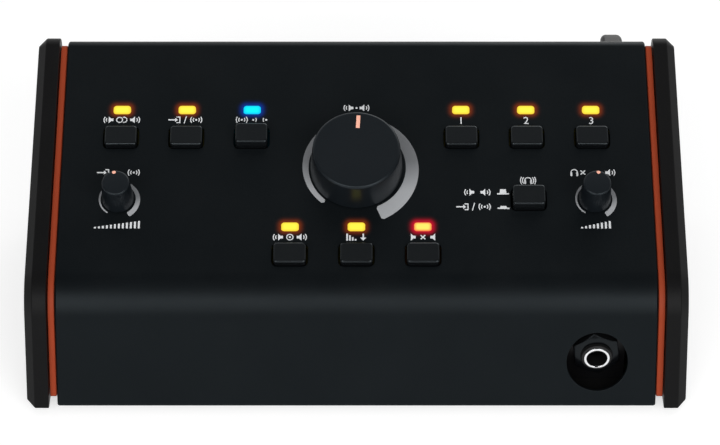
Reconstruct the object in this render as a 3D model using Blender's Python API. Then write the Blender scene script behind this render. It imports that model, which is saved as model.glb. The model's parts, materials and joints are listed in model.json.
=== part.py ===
"""Studio monitor controller: a sloping sheet-metal desktop box between two chamfered cheeks.

The housing is one bent sheet: a front that leans back, a wide bend, a tilted control panel and a
tight bend into the rear wall. X runs to the right, Y to the rear and Z up, in metres, with the
origin on the table under the middle of the part.

Places on the control panel are given as (across, along): across is X, and along is measured up the
panel from the line where the panel's plane meets the front's plane. Heights there are measured
outwards from the panel's outer face.
"""
import math

import bmesh
import bpy
from mathutils import Matrix, Vector

# Housing sheet
front_lean = math.radians(22.0)
panel_tilt = math.radians(23.3)
front_length = 0.0373
panel_length = 0.0950
bend_radius = 0.0190
rear_bend_radius = 0.0035
housing_width = 0.1872
sheet_thickness = 0.0012
side_fold = 0.0008
foot_stand = 0.0025

# Clearances
seat_gap = 0.0003
trim_gap = 0.0002
inlay_gap = 0.0001
cutter_overrun = 0.0020

# Trim plates and cheeks
trim_slot = 0.0025
trim_inset = 0.0014
trim_bottom_rise = 0.00195
cheek_thickness = 0.0071
cheek_overhang = 0.0010
cheek_chamfer_width = 0.0027
cheek_chamfer_depth = 0.0026
cheek_bottom_chamfer = 0.0009
cheek_toe_radius = 0.0005
cheek_screw_head_diameter = 0.0056
cheek_screw_recess_depth = 0.0040
cheek_screw_edge = 0.0140

# Base plate and feet
base_thickness = 0.0015
base_recess = 0.0005
base_flange_height = 0.0100
foot_diameter = 0.0120
foot_taper = 0.0012
foot_edge = 0.0150
post_diameter = 0.0060
post_edge = 0.0080

# Rows and columns of the control panel
outer_column_edge = 0.0186
column_pitch_share = 0.2773
upper_window_share = 0.6937
upper_button_share = 0.5853
main_share = 0.4674
small_knob_share = 0.3495
lower_window_share = 0.2474
lower_button_share = 0.1429

# Push buttons
opening_width = 0.0112
opening_height = 0.0080
opening_corner = 0.0017
button_gap = 0.0005
button_corner = 0.0010
button_length = 0.0065
button_in_stand = 0.0020
button_travel = 0.0017
button_overtravel = 0.0005
button_edge = 0.0006
stem_width = 0.0030
stem_length = 0.0050
switch_width = 0.0084
switch_height = 0.0078

# Lit windows
window_width = 0.0055
window_height = 0.0030
window_corner = 0.0010
window_stand = 0.0001
window_flange_margin = 0.0008
window_flange_thickness = 0.0008
guide_margin = 0.0005
lamp_width = 0.0030
lamp_length = 0.0016
lamp_height = 0.0010

# Control board
board_thickness = 0.0016
control_board_depth = 0.0120
control_board_side = 0.0084
control_board_margin = 0.0048
board_notch_clearance = 0.0050
board_notch_side = 0.0020
stud_diameter = 0.0050
stud_edge = 0.0040

# Main dial
main_knob_diameter = 0.0292
main_knob_top_diameter = 0.0277
main_knob_top = 0.0123
main_knob_edge = 0.0010
main_rest_turn = math.radians(-3.0)
pointer_length = 0.0045
pointer_width = 0.0012
pointer_depth = 0.0008
pointer_rim = 0.0016
main_pot_diameter = 0.0165
main_bush_diameter = 0.0090

# Small dials
small_knob_diameter = 0.0100
small_knob_top_diameter = 0.0088
small_knob_top = 0.0112
small_knob_edge = 0.0007
small_pot_width = 0.0110
small_bush_diameter = 0.0085

# Shafts
shaft_diameter = 0.0060
shaft_hole_gap = 0.0006
knob_lift = 0.0005
knob_roof = 0.0020
pot_floor = 0.0015
pot_height = 0.0066

# Sockets for 6.35 mm plugs
plug_bore = 0.0065
nose_wall = 0.0006
jack_width = 0.0156
jack_height = 0.0150
jack_depth = 0.0210
jack_floor = 0.0020
board_standoff = 0.0025
socket_reveal = 0.001475
ferrule_setback = 0.0015
ferrule_wall = 0.00075
ferrule_stand = 0.0004
ferrule_length = 0.0050
ferrule_notch = 0.0010
ferrule_notch_depth = 0.0004
nut_setback = 0.0031
nut_thickness = 0.0022
nut_wall = 0.00215
nut_turn = math.radians(-8.0)
nut_chamfer = 0.0007
bracket_thickness = 0.0012
bracket_width = 0.0180
bracket_height = 0.0190
bracket_foot = 0.0060
rear_nose_stand = 0.0035
rear_row_edge = 0.0066
jack_spacing = 0.0016

# Other rear fittings
aux_spacing = 0.0150
aux_bore = 0.0036
aux_nose_diameter = 0.0058
aux_nose_stand = 0.0012
aux_width = 0.0080
aux_height = 0.0100
aux_depth = 0.0120
dc_edge = 0.0204
dc_bore = 0.0057
dc_pin = 0.0020
dc_collar_diameter = 0.0078
dc_collar_stand = 0.0004
dc_width = 0.0092
dc_depth = 0.0130
dc_pin_setback = 0.0010
power_edge = 0.0088
power_drop = 0.0096
power_width = 0.0072
power_corner = 0.0016
power_stand = 0.0090
power_overtravel = 0.0004
power_end_depth = 0.0032
power_end_inset = 0.0014
power_body_depth = 0.0078
power_flange_width = 0.0160
power_flange_thickness = 0.0012

# Main board and the flat cable between the boards
main_board_side = 0.0054
main_board_front = 0.0132
main_board_rear_gap = 0.0010
header_width = 0.0280
header_depth = 0.0050
header_height = 0.0040
ribbon_width = 0.0250
ribbon_thickness = 0.0009
ribbon_low_place = 0.0440
ribbon_high_along = 0.0300
ribbon_reach = 0.0120
relay_width = 0.0100
relay_gap = 0.0026
relay_count = 4
relay_depth = 0.0200
relay_height = 0.0080
capacitor_diameter = 0.0080
capacitor_height = 0.0110

# Facets
wide_steps = 14
tight_steps = 6
corner_steps = 3
fold_steps = 2
window_steps = 2
knob_segments = 64
small_segments = 32
bore_segments = 20
hidden_segments = 12
foot_segments = 24
ribbon_steps = 16

# Places worked out from the sizes above
half_housing = housing_width / 2
half_inside = half_housing - sheet_thickness
cheek_inner = half_housing + trim_slot
front_direction = Vector((math.sin(front_lean), math.cos(front_lean)))
panel_direction = Vector((math.cos(panel_tilt), math.sin(panel_tilt)))
housing_depth = front_length * front_direction.x + panel_length * panel_direction.x
front_overhang = cheek_overhang / math.cos(front_lean)
toe_reach = cheek_toe_radius * (1 / math.tan((math.pi / 2 - front_lean) / 2) - 1)
front_reach = front_overhang - toe_reach
front_foot = Vector(((front_reach - housing_depth - power_stand) / 2, foot_stand))
bend = front_foot + front_direction * front_length
rear_top = bend + panel_direction * panel_length
rear_face = rear_top.x
base_top = foot_stand + base_recess + base_thickness
main_board_top = base_top + board_standoff + board_thickness
jack_axis_height = main_board_top + seat_gap + jack_height / 2
front_hole_place = front_foot.x + (jack_axis_height - foot_stand) * math.tan(front_lean)
outer_column = half_housing - outer_column_edge
column_pitch = outer_column * column_pitch_share
ribbon_across = -2 * column_pitch
upper_window_row = panel_length * upper_window_share
upper_button_row = panel_length * upper_button_share
main_row = panel_length * main_share
small_knob_row = panel_length * small_knob_share
lower_window_row = panel_length * lower_window_share
lower_button_row = panel_length * lower_button_share
control_board_top = -control_board_depth
button_width = opening_width - 2 * button_gap
button_height = opening_height - 2 * button_gap
switch_top = button_in_stand - button_length - button_overtravel - seat_gap
shaft_bore = shaft_diameter + 2 * seat_gap
shaft_hole = shaft_diameter + 2 * shaft_hole_gap
pot_base = control_board_top + seat_gap
shaft_low = pot_base + pot_floor + seat_gap
control_board_width = 2 * (half_inside - control_board_side)
control_board_low = lower_button_row - switch_height / 2 - control_board_margin
control_board_high = upper_window_row + lamp_length / 2 + control_board_margin + stud_edge
board_underside = (control_board_depth + board_thickness) * math.cos(panel_tilt)
board_notch_top = ((jack_axis_height + jack_height / 2 + board_notch_clearance - bend.y + board_underside)
                   / math.sin(panel_tilt))
board_notch_edge = outer_column - jack_width / 2 - board_notch_side
main_board_width = 2 * (half_inside - main_board_side)
ferrule_diameter = plug_bore + 2 * ferrule_wall
nose_diameter = ferrule_diameter + 2 * trim_gap + 2 * nose_wall
nut_flats = nose_diameter + 2 * nut_wall
front_hole_diameter = nut_flats / math.cos(math.pi / 6) + 2 * socket_reveal
power_place = half_inside - power_edge
power_body_width = power_width + 2 * seat_gap
dc_place = half_inside - dc_edge
aux_place = dc_place - aux_spacing
rear_jack_pitch = jack_width + jack_spacing
rear_jack_first = rear_row_edge + jack_width / 2 - half_inside
rear_row_end = aux_place - aux_width / 2 - jack_spacing - jack_width / 2
rear_jack_count = 1 + int((rear_row_end - rear_jack_first) / rear_jack_pitch)


# Flat outlines

def meet(point, direction, other, other_direction):
    """Where two lines of the side profile cross."""
    apart = other - point
    turn = direction.cross(other_direction)
    return point + direction * (apart.cross(other_direction) / turn)


def fillet(before, corner, after, radius, steps):
    """Points of the arc that rounds a corner."""
    back = (before - corner).normalized()
    ahead = (after - corner).normalized()
    half = math.acos(max(-1.0, min(1.0, back.dot(ahead)))) / 2
    reach = radius / math.tan(half)
    centre = corner + (back + ahead).normalized() * (radius / math.sin(half))
    start = corner + back * reach - centre
    sweep = math.pi - 2 * half
    side = math.copysign(1.0, start.cross(corner + ahead * reach - centre))
    return [centre + Matrix.Rotation(side * sweep * i / steps, 2) @ start for i in range(steps + 1)]


def side_profile(inset, bottom, toe_radius=0.0):
    """Outline of the housing's side in Y and Z, moved inwards by inset and cut off at bottom."""
    front_in = Vector((front_direction.y, -front_direction.x)) * inset
    panel_in = Vector((panel_direction.y, -panel_direction.x)) * inset
    down = Vector((0.0, -1.0))
    level = Vector((1.0, 0.0))
    front_low = meet(front_foot + front_in, front_direction, Vector((0.0, bottom)), level)
    bend_corner = meet(front_foot + front_in, front_direction, bend + panel_in, panel_direction)
    rear_corner = meet(bend + panel_in, panel_direction, Vector((rear_face - inset, 0.0)), down)
    rear_low = Vector((rear_face - inset, bottom))
    toe = [front_low]
    if toe_radius:
        toe = fillet(rear_low, front_low, bend_corner, toe_radius, corner_steps)
    return (
        toe
        + fillet(front_low, bend_corner, rear_corner, bend_radius - inset, wide_steps)
        + fillet(bend_corner, rear_corner, rear_low, rear_bend_radius - inset, tight_steps)
        + [rear_low]
    )


def circle(diameter, segments):
    """A regular polygon with its corners on the circle."""
    angles = [2 * math.pi * i / segments for i in range(segments)]
    return [Vector((math.cos(a), math.sin(a))) * (diameter / 2) for a in angles]


def rectangle(width, height):
    """Four corners about the middle."""
    return [Vector((sx * width / 2, sy * height / 2)) for sx, sy in ((-1, -1), (1, -1), (1, 1), (-1, 1))]


def rounded_rectangle(width, height, radius, steps=corner_steps):
    """A rectangle about the middle with round corners."""
    corners = rectangle(width, height)
    points = []
    for i, corner in enumerate(corners):
        points += fillet(corners[i - 1], corner, corners[(i + 1) % 4], radius, steps)
    return points


# Solids

def finish(bm, name):
    """Turns the faces outwards and makes the mesh."""
    bmesh.ops.recalc_face_normals(bm, faces=bm.faces)
    mesh = bpy.data.meshes.new(name)
    bm.to_mesh(mesh)
    bm.free()
    return mesh


def stack(levels, name="stack"):
    """A solid through outlines of as many points each, given as (outline, height)."""
    bm = bmesh.new()
    rings = [[bm.verts.new((p.x, p.y, height)) for p in outline] for outline, height in levels]
    for lower, upper in zip(rings, rings[1:]):
        for i, corner in enumerate(lower):
            after = (i + 1) % len(lower)
            bm.faces.new((corner, lower[after], upper[after], upper[i]))
    bm.faces.new(rings[0])
    bm.faces.new(rings[-1])
    return finish(bm, name)


def prism(outline, low, high):
    """An outline drawn out from one height to another."""
    return stack([(outline, low), (outline, high)], "prism")


def turned(profile, segments):
    """A solid of revolution about Z, from a profile of (radius, height) that starts and ends on it."""
    bm = bmesh.new()
    rings = []
    for radius, height in profile:
        if radius == 0:
            rings.append([bm.verts.new((0.0, 0.0, height))])
        else:
            rings.append([bm.verts.new((p.x, p.y, height)) for p in circle(2 * radius, segments)])
    for lower, upper in zip(rings, rings[1:]):
        for i in range(segments):
            after = (i + 1) % segments
            corners = [lower[i % len(lower)], lower[after % len(lower)]]
            corners += [upper[after % len(upper)], upper[i % len(upper)]]
            unique = list(dict.fromkeys(corners))
            bm.faces.new(unique)
    return finish(bm, "turned")


def tube(outer_diameter, inner_diameter, low, high, segments):
    """A round sleeve about Z."""
    bm = bmesh.new()
    rings = []
    for diameter, height in ((outer_diameter, low), (outer_diameter, high),
                             (inner_diameter, high), (inner_diameter, low)):
        rings.append([bm.verts.new((p.x, p.y, height)) for p in circle(diameter, segments)])
    for lower, upper in zip(rings, rings[1:] + rings[:1]):
        for i in range(segments):
            after = (i + 1) % segments
            bm.faces.new((lower[i], lower[after], upper[after], upper[i]))
    return finish(bm, "tube")


def moved(mesh, x, y, z=0.0):
    """The same mesh, shifted."""
    mesh.transform(Matrix.Translation((x, y, z)))
    return mesh


def across(mesh):
    """A mesh made from side outlines, turned so that they lie in Y and Z and it runs along X."""
    mesh.transform(Matrix(((0, 0, 1, 0), (1, 0, 0, 0), (0, 1, 0, 0), (0, 0, 0, 1))))
    return mesh


def gathered(meshes):
    """Several meshes in one."""
    bm = bmesh.new()
    for mesh in meshes:
        bm.from_mesh(mesh)
        bpy.data.meshes.remove(mesh)
    together = bpy.data.meshes.new("gathered")
    bm.to_mesh(together)
    bm.free()
    return together


def combined(base, steps):
    """The mesh that Booleans make of base, one after another, from pairs of operation and mesh."""
    holder = bpy.data.objects.new("holder", base)
    bpy.context.collection.objects.link(holder)
    tools = []
    for operation, mesh in steps:
        tool = bpy.data.objects.new("tool", mesh)
        tool.hide_render = True
        tool.display_type = "WIRE"
        bpy.context.collection.objects.link(tool)
        modifier = holder.modifiers.new(operation.title(), "BOOLEAN")
        modifier.operation = operation
        modifier.solver = "EXACT"
        modifier.object = tool
        tools.append(tool)
    bpy.context.view_layer.update()
    graph = bpy.context.evaluated_depsgraph_get()
    result = bpy.data.meshes.new_from_object(holder.evaluated_get(graph), depsgraph=graph)
    for scrap in [holder] + tools:
        mesh = scrap.data
        bpy.data.objects.remove(scrap)
        bpy.data.meshes.remove(mesh)
    return result


# Frames and materials

def clear_scene():
    """Removes whatever the scene holds."""
    for item in list(bpy.data.objects):
        bpy.data.objects.remove(item, do_unlink=True)


def frame(name, place, turn):
    """An empty at a place, turned about X."""
    empty = bpy.data.objects.new(name, None)
    empty.location = place
    empty.rotation_euler = (turn, 0.0, 0.0)
    bpy.context.collection.objects.link(empty)
    return empty


def material(name, colour, roughness, metallic=0.0):
    """A plain Principled material."""
    made = bpy.data.materials.new(name)
    made.use_nodes = True
    shader = made.node_tree.nodes["Principled BSDF"]
    shader.inputs["Base Color"].default_value = (*colour, 1.0)
    shader.inputs["Roughness"].default_value = roughness
    shader.inputs["Metallic"].default_value = metallic
    return made


def place(name, mesh, finish_name, parent=None, location=(0.0, 0.0, 0.0), turn=0.0, smooth=True):
    """Puts a mesh in the scene as a named piece, turned about its own Z axis."""
    colour, roughness, metallic = finishes[finish_name]
    piece = bpy.data.objects.new(name, mesh)
    piece.location = location
    piece.rotation_euler = (0.0, 0.0, turn)
    piece.parent = parent
    bpy.context.collection.objects.link(piece)
    if smooth:
        mesh.shade_smooth()
        mesh.set_sharp_from_angle(angle=sharp_angle)
    if not mesh.materials:
        mesh.materials.append(None)
    piece.material_slots[0].link = "OBJECT"
    piece.material_slots[0].material = material(name, colour, roughness, metallic)
    return piece


sharp_angle = math.radians(32.0)
finishes = {
    "black sheet": ((0.018, 0.019, 0.021), 0.45, 0.0),
    "black plastic": ((0.016, 0.016, 0.017), 0.50, 0.0),
    "gloss black": ((0.012, 0.012, 0.013), 0.25, 0.0),
    "orange trim": ((0.45, 0.10, 0.03), 0.50, 0.0),
    "pointer": ((0.85, 0.25, 0.12), 0.50, 0.0),
    "rubber": ((0.02, 0.02, 0.02), 0.90, 0.0),
    "board": ((0.03, 0.14, 0.06), 0.50, 0.0),
    "steel": ((0.55, 0.55, 0.57), 0.35, 1.0),
    "zinc": ((0.45, 0.45, 0.46), 0.45, 1.0),
    "chrome": ((0.80, 0.80, 0.80), 0.12, 1.0),
    "yellow lamp": ((0.95, 0.75, 0.10), 0.30, 0.0),
    "blue lamp": ((0.05, 0.45, 0.95), 0.30, 0.0),
    "red lamp": ((0.90, 0.10, 0.08), 0.30, 0.0),
    "flat cable": ((0.30, 0.30, 0.32), 0.60, 0.0),
}


# Places on the control panel

def upper_columns():
    """X of the six upper buttons, from left to right."""
    right = [outer_column - column_pitch * i for i in (2, 1, 0)]
    return [-x for x in reversed(right)] + right


def lower_columns():
    """X of the three lower buttons, from left to right."""
    return [column_pitch * i for i in (-1, 0, 1)]


def button_places():
    """Each button's name, place and whether it stands out at rest."""
    upper = ("button_stereo", "button_aux", "button_pair",
             "button_speaker_1", "button_speaker_2", "button_speaker_3")
    lower = ("button_mono", "button_dim", "button_mute")
    places = [(name, x, upper_button_row, name == "button_pair") for name, x in zip(upper, upper_columns())]
    places += [(name, x, lower_button_row, False) for name, x in zip(lower, lower_columns())]
    return places + [("button_listen", outer_column - column_pitch, small_knob_row, True)]


def window_places():
    """Each lit window's name, place and finish."""
    upper = [(f"upper_window_{i + 1}", x, upper_window_row, "blue lamp" if i == 2 else "yellow lamp")
             for i, x in enumerate(upper_columns())]
    lower = [(f"lower_window_{i + 1}", x, lower_window_row, "red lamp" if i == 2 else "yellow lamp")
             for i, x in enumerate(lower_columns())]
    return upper + lower


def dial_places():
    """Each dial's name and place."""
    return [("main", 0.0, main_row), ("volume", -outer_column, small_knob_row),
            ("phones", outer_column, small_knob_row)]


def rear_jack_places():
    """X of the rear sockets."""
    return [rear_jack_first + rear_jack_pitch * i for i in range(rear_jack_count)]


# Housing

def panel_openings():
    """Cutters for the openings in the control panel."""
    low = -sheet_thickness - cutter_overrun
    cutters = []
    opening = rounded_rectangle(opening_width, opening_height, opening_corner)
    for name, x, along, out in button_places():
        cutters.append(moved(prism(opening, low, cutter_overrun), x, along))
    slot = rounded_rectangle(window_width + 2 * inlay_gap, window_height + 2 * inlay_gap,
                             window_corner + inlay_gap, window_steps)
    for name, x, along, lamp in window_places():
        cutters.append(moved(prism(slot, low, cutter_overrun), x, along))
    for name, x, along in dial_places():
        cutters.append(moved(prism(circle(shaft_hole, bore_segments), low, cutter_overrun), x, along))
    together = gathered(cutters)
    together.transform(panel_matrix())
    return together


def stud_places():
    """Where the control board is screwed to the panel."""
    low = control_board_low + stud_edge + stud_diameter / 2
    high = control_board_high - stud_edge
    inner = board_notch_edge - stud_edge
    outer = control_board_width / 2 - stud_edge
    return [(-inner, low), (inner, low), (-outer, high), (0.0, high), (outer, high)]


def panel_studs():
    """Threaded studs under the panel that carry the control board."""
    low = control_board_top + seat_gap
    together = gathered([
        moved(prism(circle(stud_diameter, hidden_segments), low, -sheet_thickness / 2), x, along)
        for x, along in stud_places()])
    together.transform(panel_matrix())
    return together


def wall_openings():
    """Cutters for the socket hole in the front and the holes in the rear wall."""
    hole = prism(circle(front_hole_diameter, small_segments), -sheet_thickness - cutter_overrun,
                 cutter_overrun)
    hole.transform(front_hole_matrix())
    low = -sheet_thickness - cutter_overrun
    rear = []
    nose_hole = circle(nose_diameter + 2 * seat_gap, bore_segments)
    for x in rear_jack_places():
        rear.append(moved(prism(nose_hole, low, cutter_overrun), x, 0.0))
    aux_hole = circle(aux_nose_diameter + 2 * seat_gap, bore_segments)
    rear.append(moved(prism(aux_hole, low, cutter_overrun), aux_place, 0.0))
    dc_hole = circle(dc_collar_diameter + 2 * seat_gap, bore_segments)
    rear.append(moved(prism(dc_hole, low, cutter_overrun), dc_place, 0.0))
    power_hole = rounded_rectangle(power_width + 2 * seat_gap, power_width + 2 * seat_gap,
                                   power_corner + seat_gap)
    power_up = power_height() - jack_axis_height
    rear.append(moved(prism(power_hole, low, cutter_overrun), power_place, -power_up))
    together = gathered(rear)
    together.transform(rear_matrix())
    return gathered([hole, together])


def panel_matrix():
    """From panel places to the world."""
    return Matrix.Translation((0.0, bend.x, bend.y)) @ Matrix.Rotation(panel_tilt, 4, "X")


def front_hole_matrix():
    """From the front hole's own axes, Z square to the front, to the world."""
    turn = Matrix.Rotation(math.pi / 2 - front_lean, 4, "X")
    return Matrix.Translation((outer_column, front_hole_place, jack_axis_height)) @ turn


def rear_matrix():
    """From the rear wall's axes, Z out of the wall and Y down, to the world."""
    return Matrix.Translation((0.0, rear_face, jack_axis_height)) @ Matrix.Rotation(-math.pi / 2, 4, "X")


def power_height():
    """Height of the power button's axis."""
    return rear_top.y - power_drop


def housing_shell():
    """The bent sheet with its folded side walls, open below."""
    folds = []
    for i in range(fold_steps + 1):
        angle = math.pi / 2 * i / fold_steps
        folds.append((side_profile(side_fold * (1 - math.cos(angle)), foot_stand),
                      half_housing - side_fold * (1 - math.sin(angle))))
    outer = across(stack([(outline, -x) for outline, x in reversed(folds)] + folds))
    cavity = across(prism(side_profile(sheet_thickness, foot_stand - cutter_overrun),
                          -half_inside, half_inside))
    mesh = combined(outer, [("DIFFERENCE", cavity), ("UNION", panel_studs()),
                            ("DIFFERENCE", panel_openings()), ("DIFFERENCE", wall_openings())])
    place("housing_shell", mesh, "black sheet")


def base_profile():
    """Front and rear edges of the base plate, clear of the sheet at its top face."""
    lean_in = sheet_thickness / math.cos(front_lean) + (base_top - foot_stand) * math.tan(front_lean)
    return front_foot.x + lean_in + seat_gap, rear_face - sheet_thickness - seat_gap


def base_plate():
    """The tray that closes the housing from below, with its flanges and board posts."""
    front, rear = base_profile()
    low = foot_stand + base_recess
    half = half_inside - seat_gap
    section = [Vector(p) for p in (
        (-half, low), (half, low), (half, low + base_flange_height),
        (half - base_thickness, low + base_flange_height), (half - base_thickness, base_top),
        (base_thickness - half, base_top), (base_thickness - half, low + base_flange_height),
        (-half, low + base_flange_height))]
    flange_front = front + base_flange_height * math.tan(front_lean)
    tray = prism(section, -rear, -front)
    tray.transform(Matrix(((1, 0, 0, 0), (0, 0, -1, 0), (0, 1, 0, 0), (0, 0, 0, 1))))
    notch = across(prism([Vector(p) for p in (
        (front - cutter_overrun, base_top), (flange_front, base_top),
        (flange_front, base_top + base_flange_height),
        (front - cutter_overrun, base_top + base_flange_height))],
        -half_housing, half_housing))
    posts = [moved(prism(circle(post_diameter, hidden_segments), base_top - base_thickness / 2,
                         main_board_top - board_thickness - seat_gap), x, y)
             for x, y in post_places()]
    mesh = combined(tray, [("DIFFERENCE", notch), ("UNION", gathered(posts))])
    place("base_plate", mesh, "black sheet")


def main_board_edges():
    """Front and rear edges of the main board."""
    return front_foot.x + main_board_front, rear_face - sheet_thickness - main_board_rear_gap


def post_places():
    """Where the board posts stand on the base plate."""
    front, rear = main_board_edges()
    x = main_board_width / 2 - post_edge
    return [(sx * x, y) for sx in (-1, 1) for y in (front + post_edge, rear - post_edge)]


def feet():
    """Four rubber feet under the base plate."""
    top = foot_stand + base_recess - seat_gap
    wide = foot_diameter / 2
    profile = [(0.0, 0.0), (wide - foot_taper, 0.0), (wide, top), (0.0, top)]
    mesh = turned(profile, foot_segments)
    front, rear = base_profile()
    x = half_housing - foot_edge
    for side, sx in (("left", -1), ("right", 1)):
        for end, y in (("front", front + foot_edge), ("rear", rear - foot_edge)):
            place(f"foot_{end}_{side}", mesh, "rubber", location=(sx * x, y, 0.0))


# Sides

def cheek_screw_places():
    """Where each cheek's screws sit, in Y and Z."""
    low = foot_stand + cheek_screw_edge
    return [Vector((front_foot.x + low * math.tan(front_lean) + cheek_screw_edge, low)),
            Vector((rear_face - cheek_screw_edge, low)),
            Vector((rear_face - cheek_screw_edge, rear_top.y - 2 * cheek_screw_edge))]


def cheek(name, side):
    """A thick end plate, chamfered all along its outer edge, with recesses for its screws."""
    wide = side_profile(-cheek_overhang, foot_stand, cheek_toe_radius)
    narrow = side_profile(cheek_chamfer_depth - cheek_overhang, foot_stand + cheek_bottom_chamfer,
                          cheek_toe_radius)
    outer = cheek_inner + cheek_thickness
    levels = [(wide, cheek_inner), (wide, outer - cheek_chamfer_width), (narrow, outer)]
    mesh = stack(levels)
    recesses = gathered([
        moved(prism(circle(cheek_screw_head_diameter + 2 * seat_gap, bore_segments),
                    outer - cheek_screw_recess_depth, outer + cutter_overrun), p.x, p.y)
        for p in cheek_screw_places()])
    mesh = across(combined(mesh, [("DIFFERENCE", recesses)]))
    mirror_to(mesh, side)
    place(name, mesh, "black plastic")


def trim_plate(name, side):
    """The thin orange plate in the slot between the housing and a cheek."""
    outline = side_profile(trim_inset, foot_stand + trim_bottom_rise)
    mesh = across(prism(outline, half_housing + trim_gap, cheek_inner - trim_gap))
    mirror_to(mesh, side)
    place(name, mesh, "orange trim")


def mirror_to(mesh, side):
    """Mirrors a right-hand mesh to the left for side -1, with its faces turned back outwards."""
    if side < 0:
        mesh.transform(Matrix.Diagonal((-1, 1, 1, 1)))
        mesh.flip_normals()


# Boards

def boxes(size, places, low, high):
    """Equal upright boxes at places."""
    return [moved(prism(rectangle(*size), low, high), x, y) for x, y in places]


def control_board(panel):
    """The board under the panel, with its push switches and lamps soldered on."""
    low = control_board_top - board_thickness
    middle = (control_board_low + control_board_high) / 2
    plate = moved(prism(rectangle(control_board_width, control_board_high - control_board_low),
                        low, control_board_top), 0.0, middle)
    sunk = control_board_top - board_thickness / 2
    switch_at = [(x, along) for name, x, along, out in button_places()]
    switches = boxes((switch_width, switch_height), switch_at, sunk, switch_top)
    lamp_at = [(x, along) for name, x, along, lamp in window_places()]
    lamps = boxes((lamp_width, lamp_length), lamp_at, sunk, control_board_top + lamp_height)
    header = boxes((header_width, header_depth), [(ribbon_across, ribbon_high_along)],
                   low - header_height, sunk)
    notch = boxes((control_board_width / 2, board_notch_top), [
        (board_notch_edge + control_board_width / 4, board_notch_top / 2)], low - cutter_overrun,
        control_board_top + cutter_overrun)
    pocket = stem_width + 2 * seat_gap
    pocket_low = button_in_stand - button_length - stem_length - button_overtravel - seat_gap
    pockets = boxes((pocket, pocket), switch_at, pocket_low, switch_top + cutter_overrun)
    mesh = combined(plate, [("UNION", gathered(switches + lamps + header)),
                            ("DIFFERENCE", gathered(pockets + notch))])
    place("control_board", mesh, "board", panel, smooth=False)


def main_board():
    """The level board that carries the sockets, with its relays, capacitors and header."""
    front, rear = main_board_edges()
    low = main_board_top - board_thickness
    sunk = main_board_top - board_thickness / 2
    plate = moved(prism(rectangle(main_board_width, rear - front), low, main_board_top),
                  0.0, (front + rear) / 2)
    middle = (front + rear) / 2
    relay_first = ribbon_across + header_width / 2 + relay_gap + relay_width / 2
    relay_at = [(relay_first + 2 * relay_width * i, middle - relay_depth / 2) for i in range(relay_count)]
    relays = boxes((relay_width, relay_depth), relay_at, sunk, main_board_top + relay_height)
    header = boxes((header_width, header_depth), [(ribbon_across, front_foot.x + ribbon_low_place)],
                   sunk, main_board_top + header_height)
    cans = [moved(prism(circle(capacitor_diameter, hidden_segments), sunk, main_board_top + capacitor_height),
                  outer_column - capacitor_diameter * step, middle + capacitor_diameter)
            for step in (-1, 0.5)]
    mesh = combined(plate, [("UNION", gathered(relays + header + cans))])
    place("main_board", mesh, "board", smooth=False)


def ribbon_cable():
    """The flat cable that joins the two boards, bent in one smooth sweep."""
    start = Vector((front_foot.x + ribbon_low_place, main_board_top + header_height + seat_gap))
    depth = control_board_top - board_thickness - header_height - seat_gap
    top = panel_matrix() @ Vector((0.0, ribbon_high_along, depth))
    end = Vector((top.y, top.z))
    inward = Vector((panel_direction.y, -panel_direction.x))
    handles = (start, start + Vector((0.0, ribbon_reach)), end + inward * ribbon_reach, end)
    left, right = [], []
    for i in range(ribbon_steps + 1):
        share = i / ribbon_steps
        point, ahead = bezier(handles, share)
        side = Vector((ahead.y, -ahead.x)).normalized() * (ribbon_thickness / 2)
        left.append(point - side)
        right.append(point + side)
    mesh = across(prism(right + left[::-1], ribbon_across - ribbon_width / 2,
                        ribbon_across + ribbon_width / 2))
    place("ribbon_cable", mesh, "flat cable")


def bezier(handles, share):
    """Point and direction on a cubic curve."""
    a, b, c, d = handles
    rest = 1 - share
    point = a * rest ** 3 + b * (3 * rest ** 2 * share) + c * (3 * rest * share ** 2) + d * share ** 3
    ahead = (b - a) * rest ** 2 + (c - b) * (2 * rest * share) + (d - c) * share ** 2
    return point, ahead


# Buttons and windows

def button(name, panel, x, along, out):
    """A push button with round edges on a square stem."""
    low = -button_length
    outer = rounded_rectangle(button_width, button_height, button_corner)
    levels = [(outer, low)]
    for i in range(corner_steps + 1):
        angle = math.pi / 2 * i / corner_steps
        inset = button_edge * (1 - math.cos(angle))
        top = -button_edge * (1 - math.sin(angle))
        ring = rounded_rectangle(button_width - 2 * inset, button_height - 2 * inset,
                                 button_corner - inset / 2)
        levels.append((ring, top))
    stem = prism(rectangle(stem_width, stem_width), low - stem_length, low / 2)
    mesh = combined(stack(levels), [("UNION", stem)])
    stand = button_in_stand + (button_travel if out else 0.0)
    place(name, mesh, "black plastic", panel, (x, along, stand))


def window(name, panel, x, along, lamp):
    """A clear window: a head in the panel, a flange behind it and a guide down to the lamp."""
    head_low = -sheet_thickness - seat_gap
    flange_low = head_low - window_flange_thickness
    guide_low = control_board_top + lamp_height + seat_gap
    head = rounded_rectangle(window_width, window_height, window_corner, window_steps)
    wide = rounded_rectangle(window_width + 2 * window_flange_margin,
                             window_height + 2 * window_flange_margin, window_corner, window_steps)
    guide = rounded_rectangle(window_width - 2 * guide_margin, window_height - 2 * guide_margin,
                              window_corner - guide_margin, window_steps)
    mesh = stack([(guide, guide_low), (guide, flange_low), (wide, flange_low), (wide, head_low),
                  (head, head_low), (head, window_stand)])
    place(name, mesh, lamp, panel, (x, along, 0.0))


# Dials

def knob_mesh(diameter, top_diameter, top, edge, segments):
    """A tapered knob with a rounded rim and a blind bore for its shaft."""
    rim = [(top_diameter / 2 - edge * (1 - math.cos(a)), top - edge * (1 - math.sin(a)))
           for a in (math.pi / 2 * i / corner_steps for i in range(corner_steps + 1))]
    profile = [(0.0, top - knob_roof), (shaft_bore / 2, top - knob_roof), (shaft_bore / 2, knob_lift),
               (diameter / 2, knob_lift)] + rim + [(0.0, top)]
    return turned(profile, segments)


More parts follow.
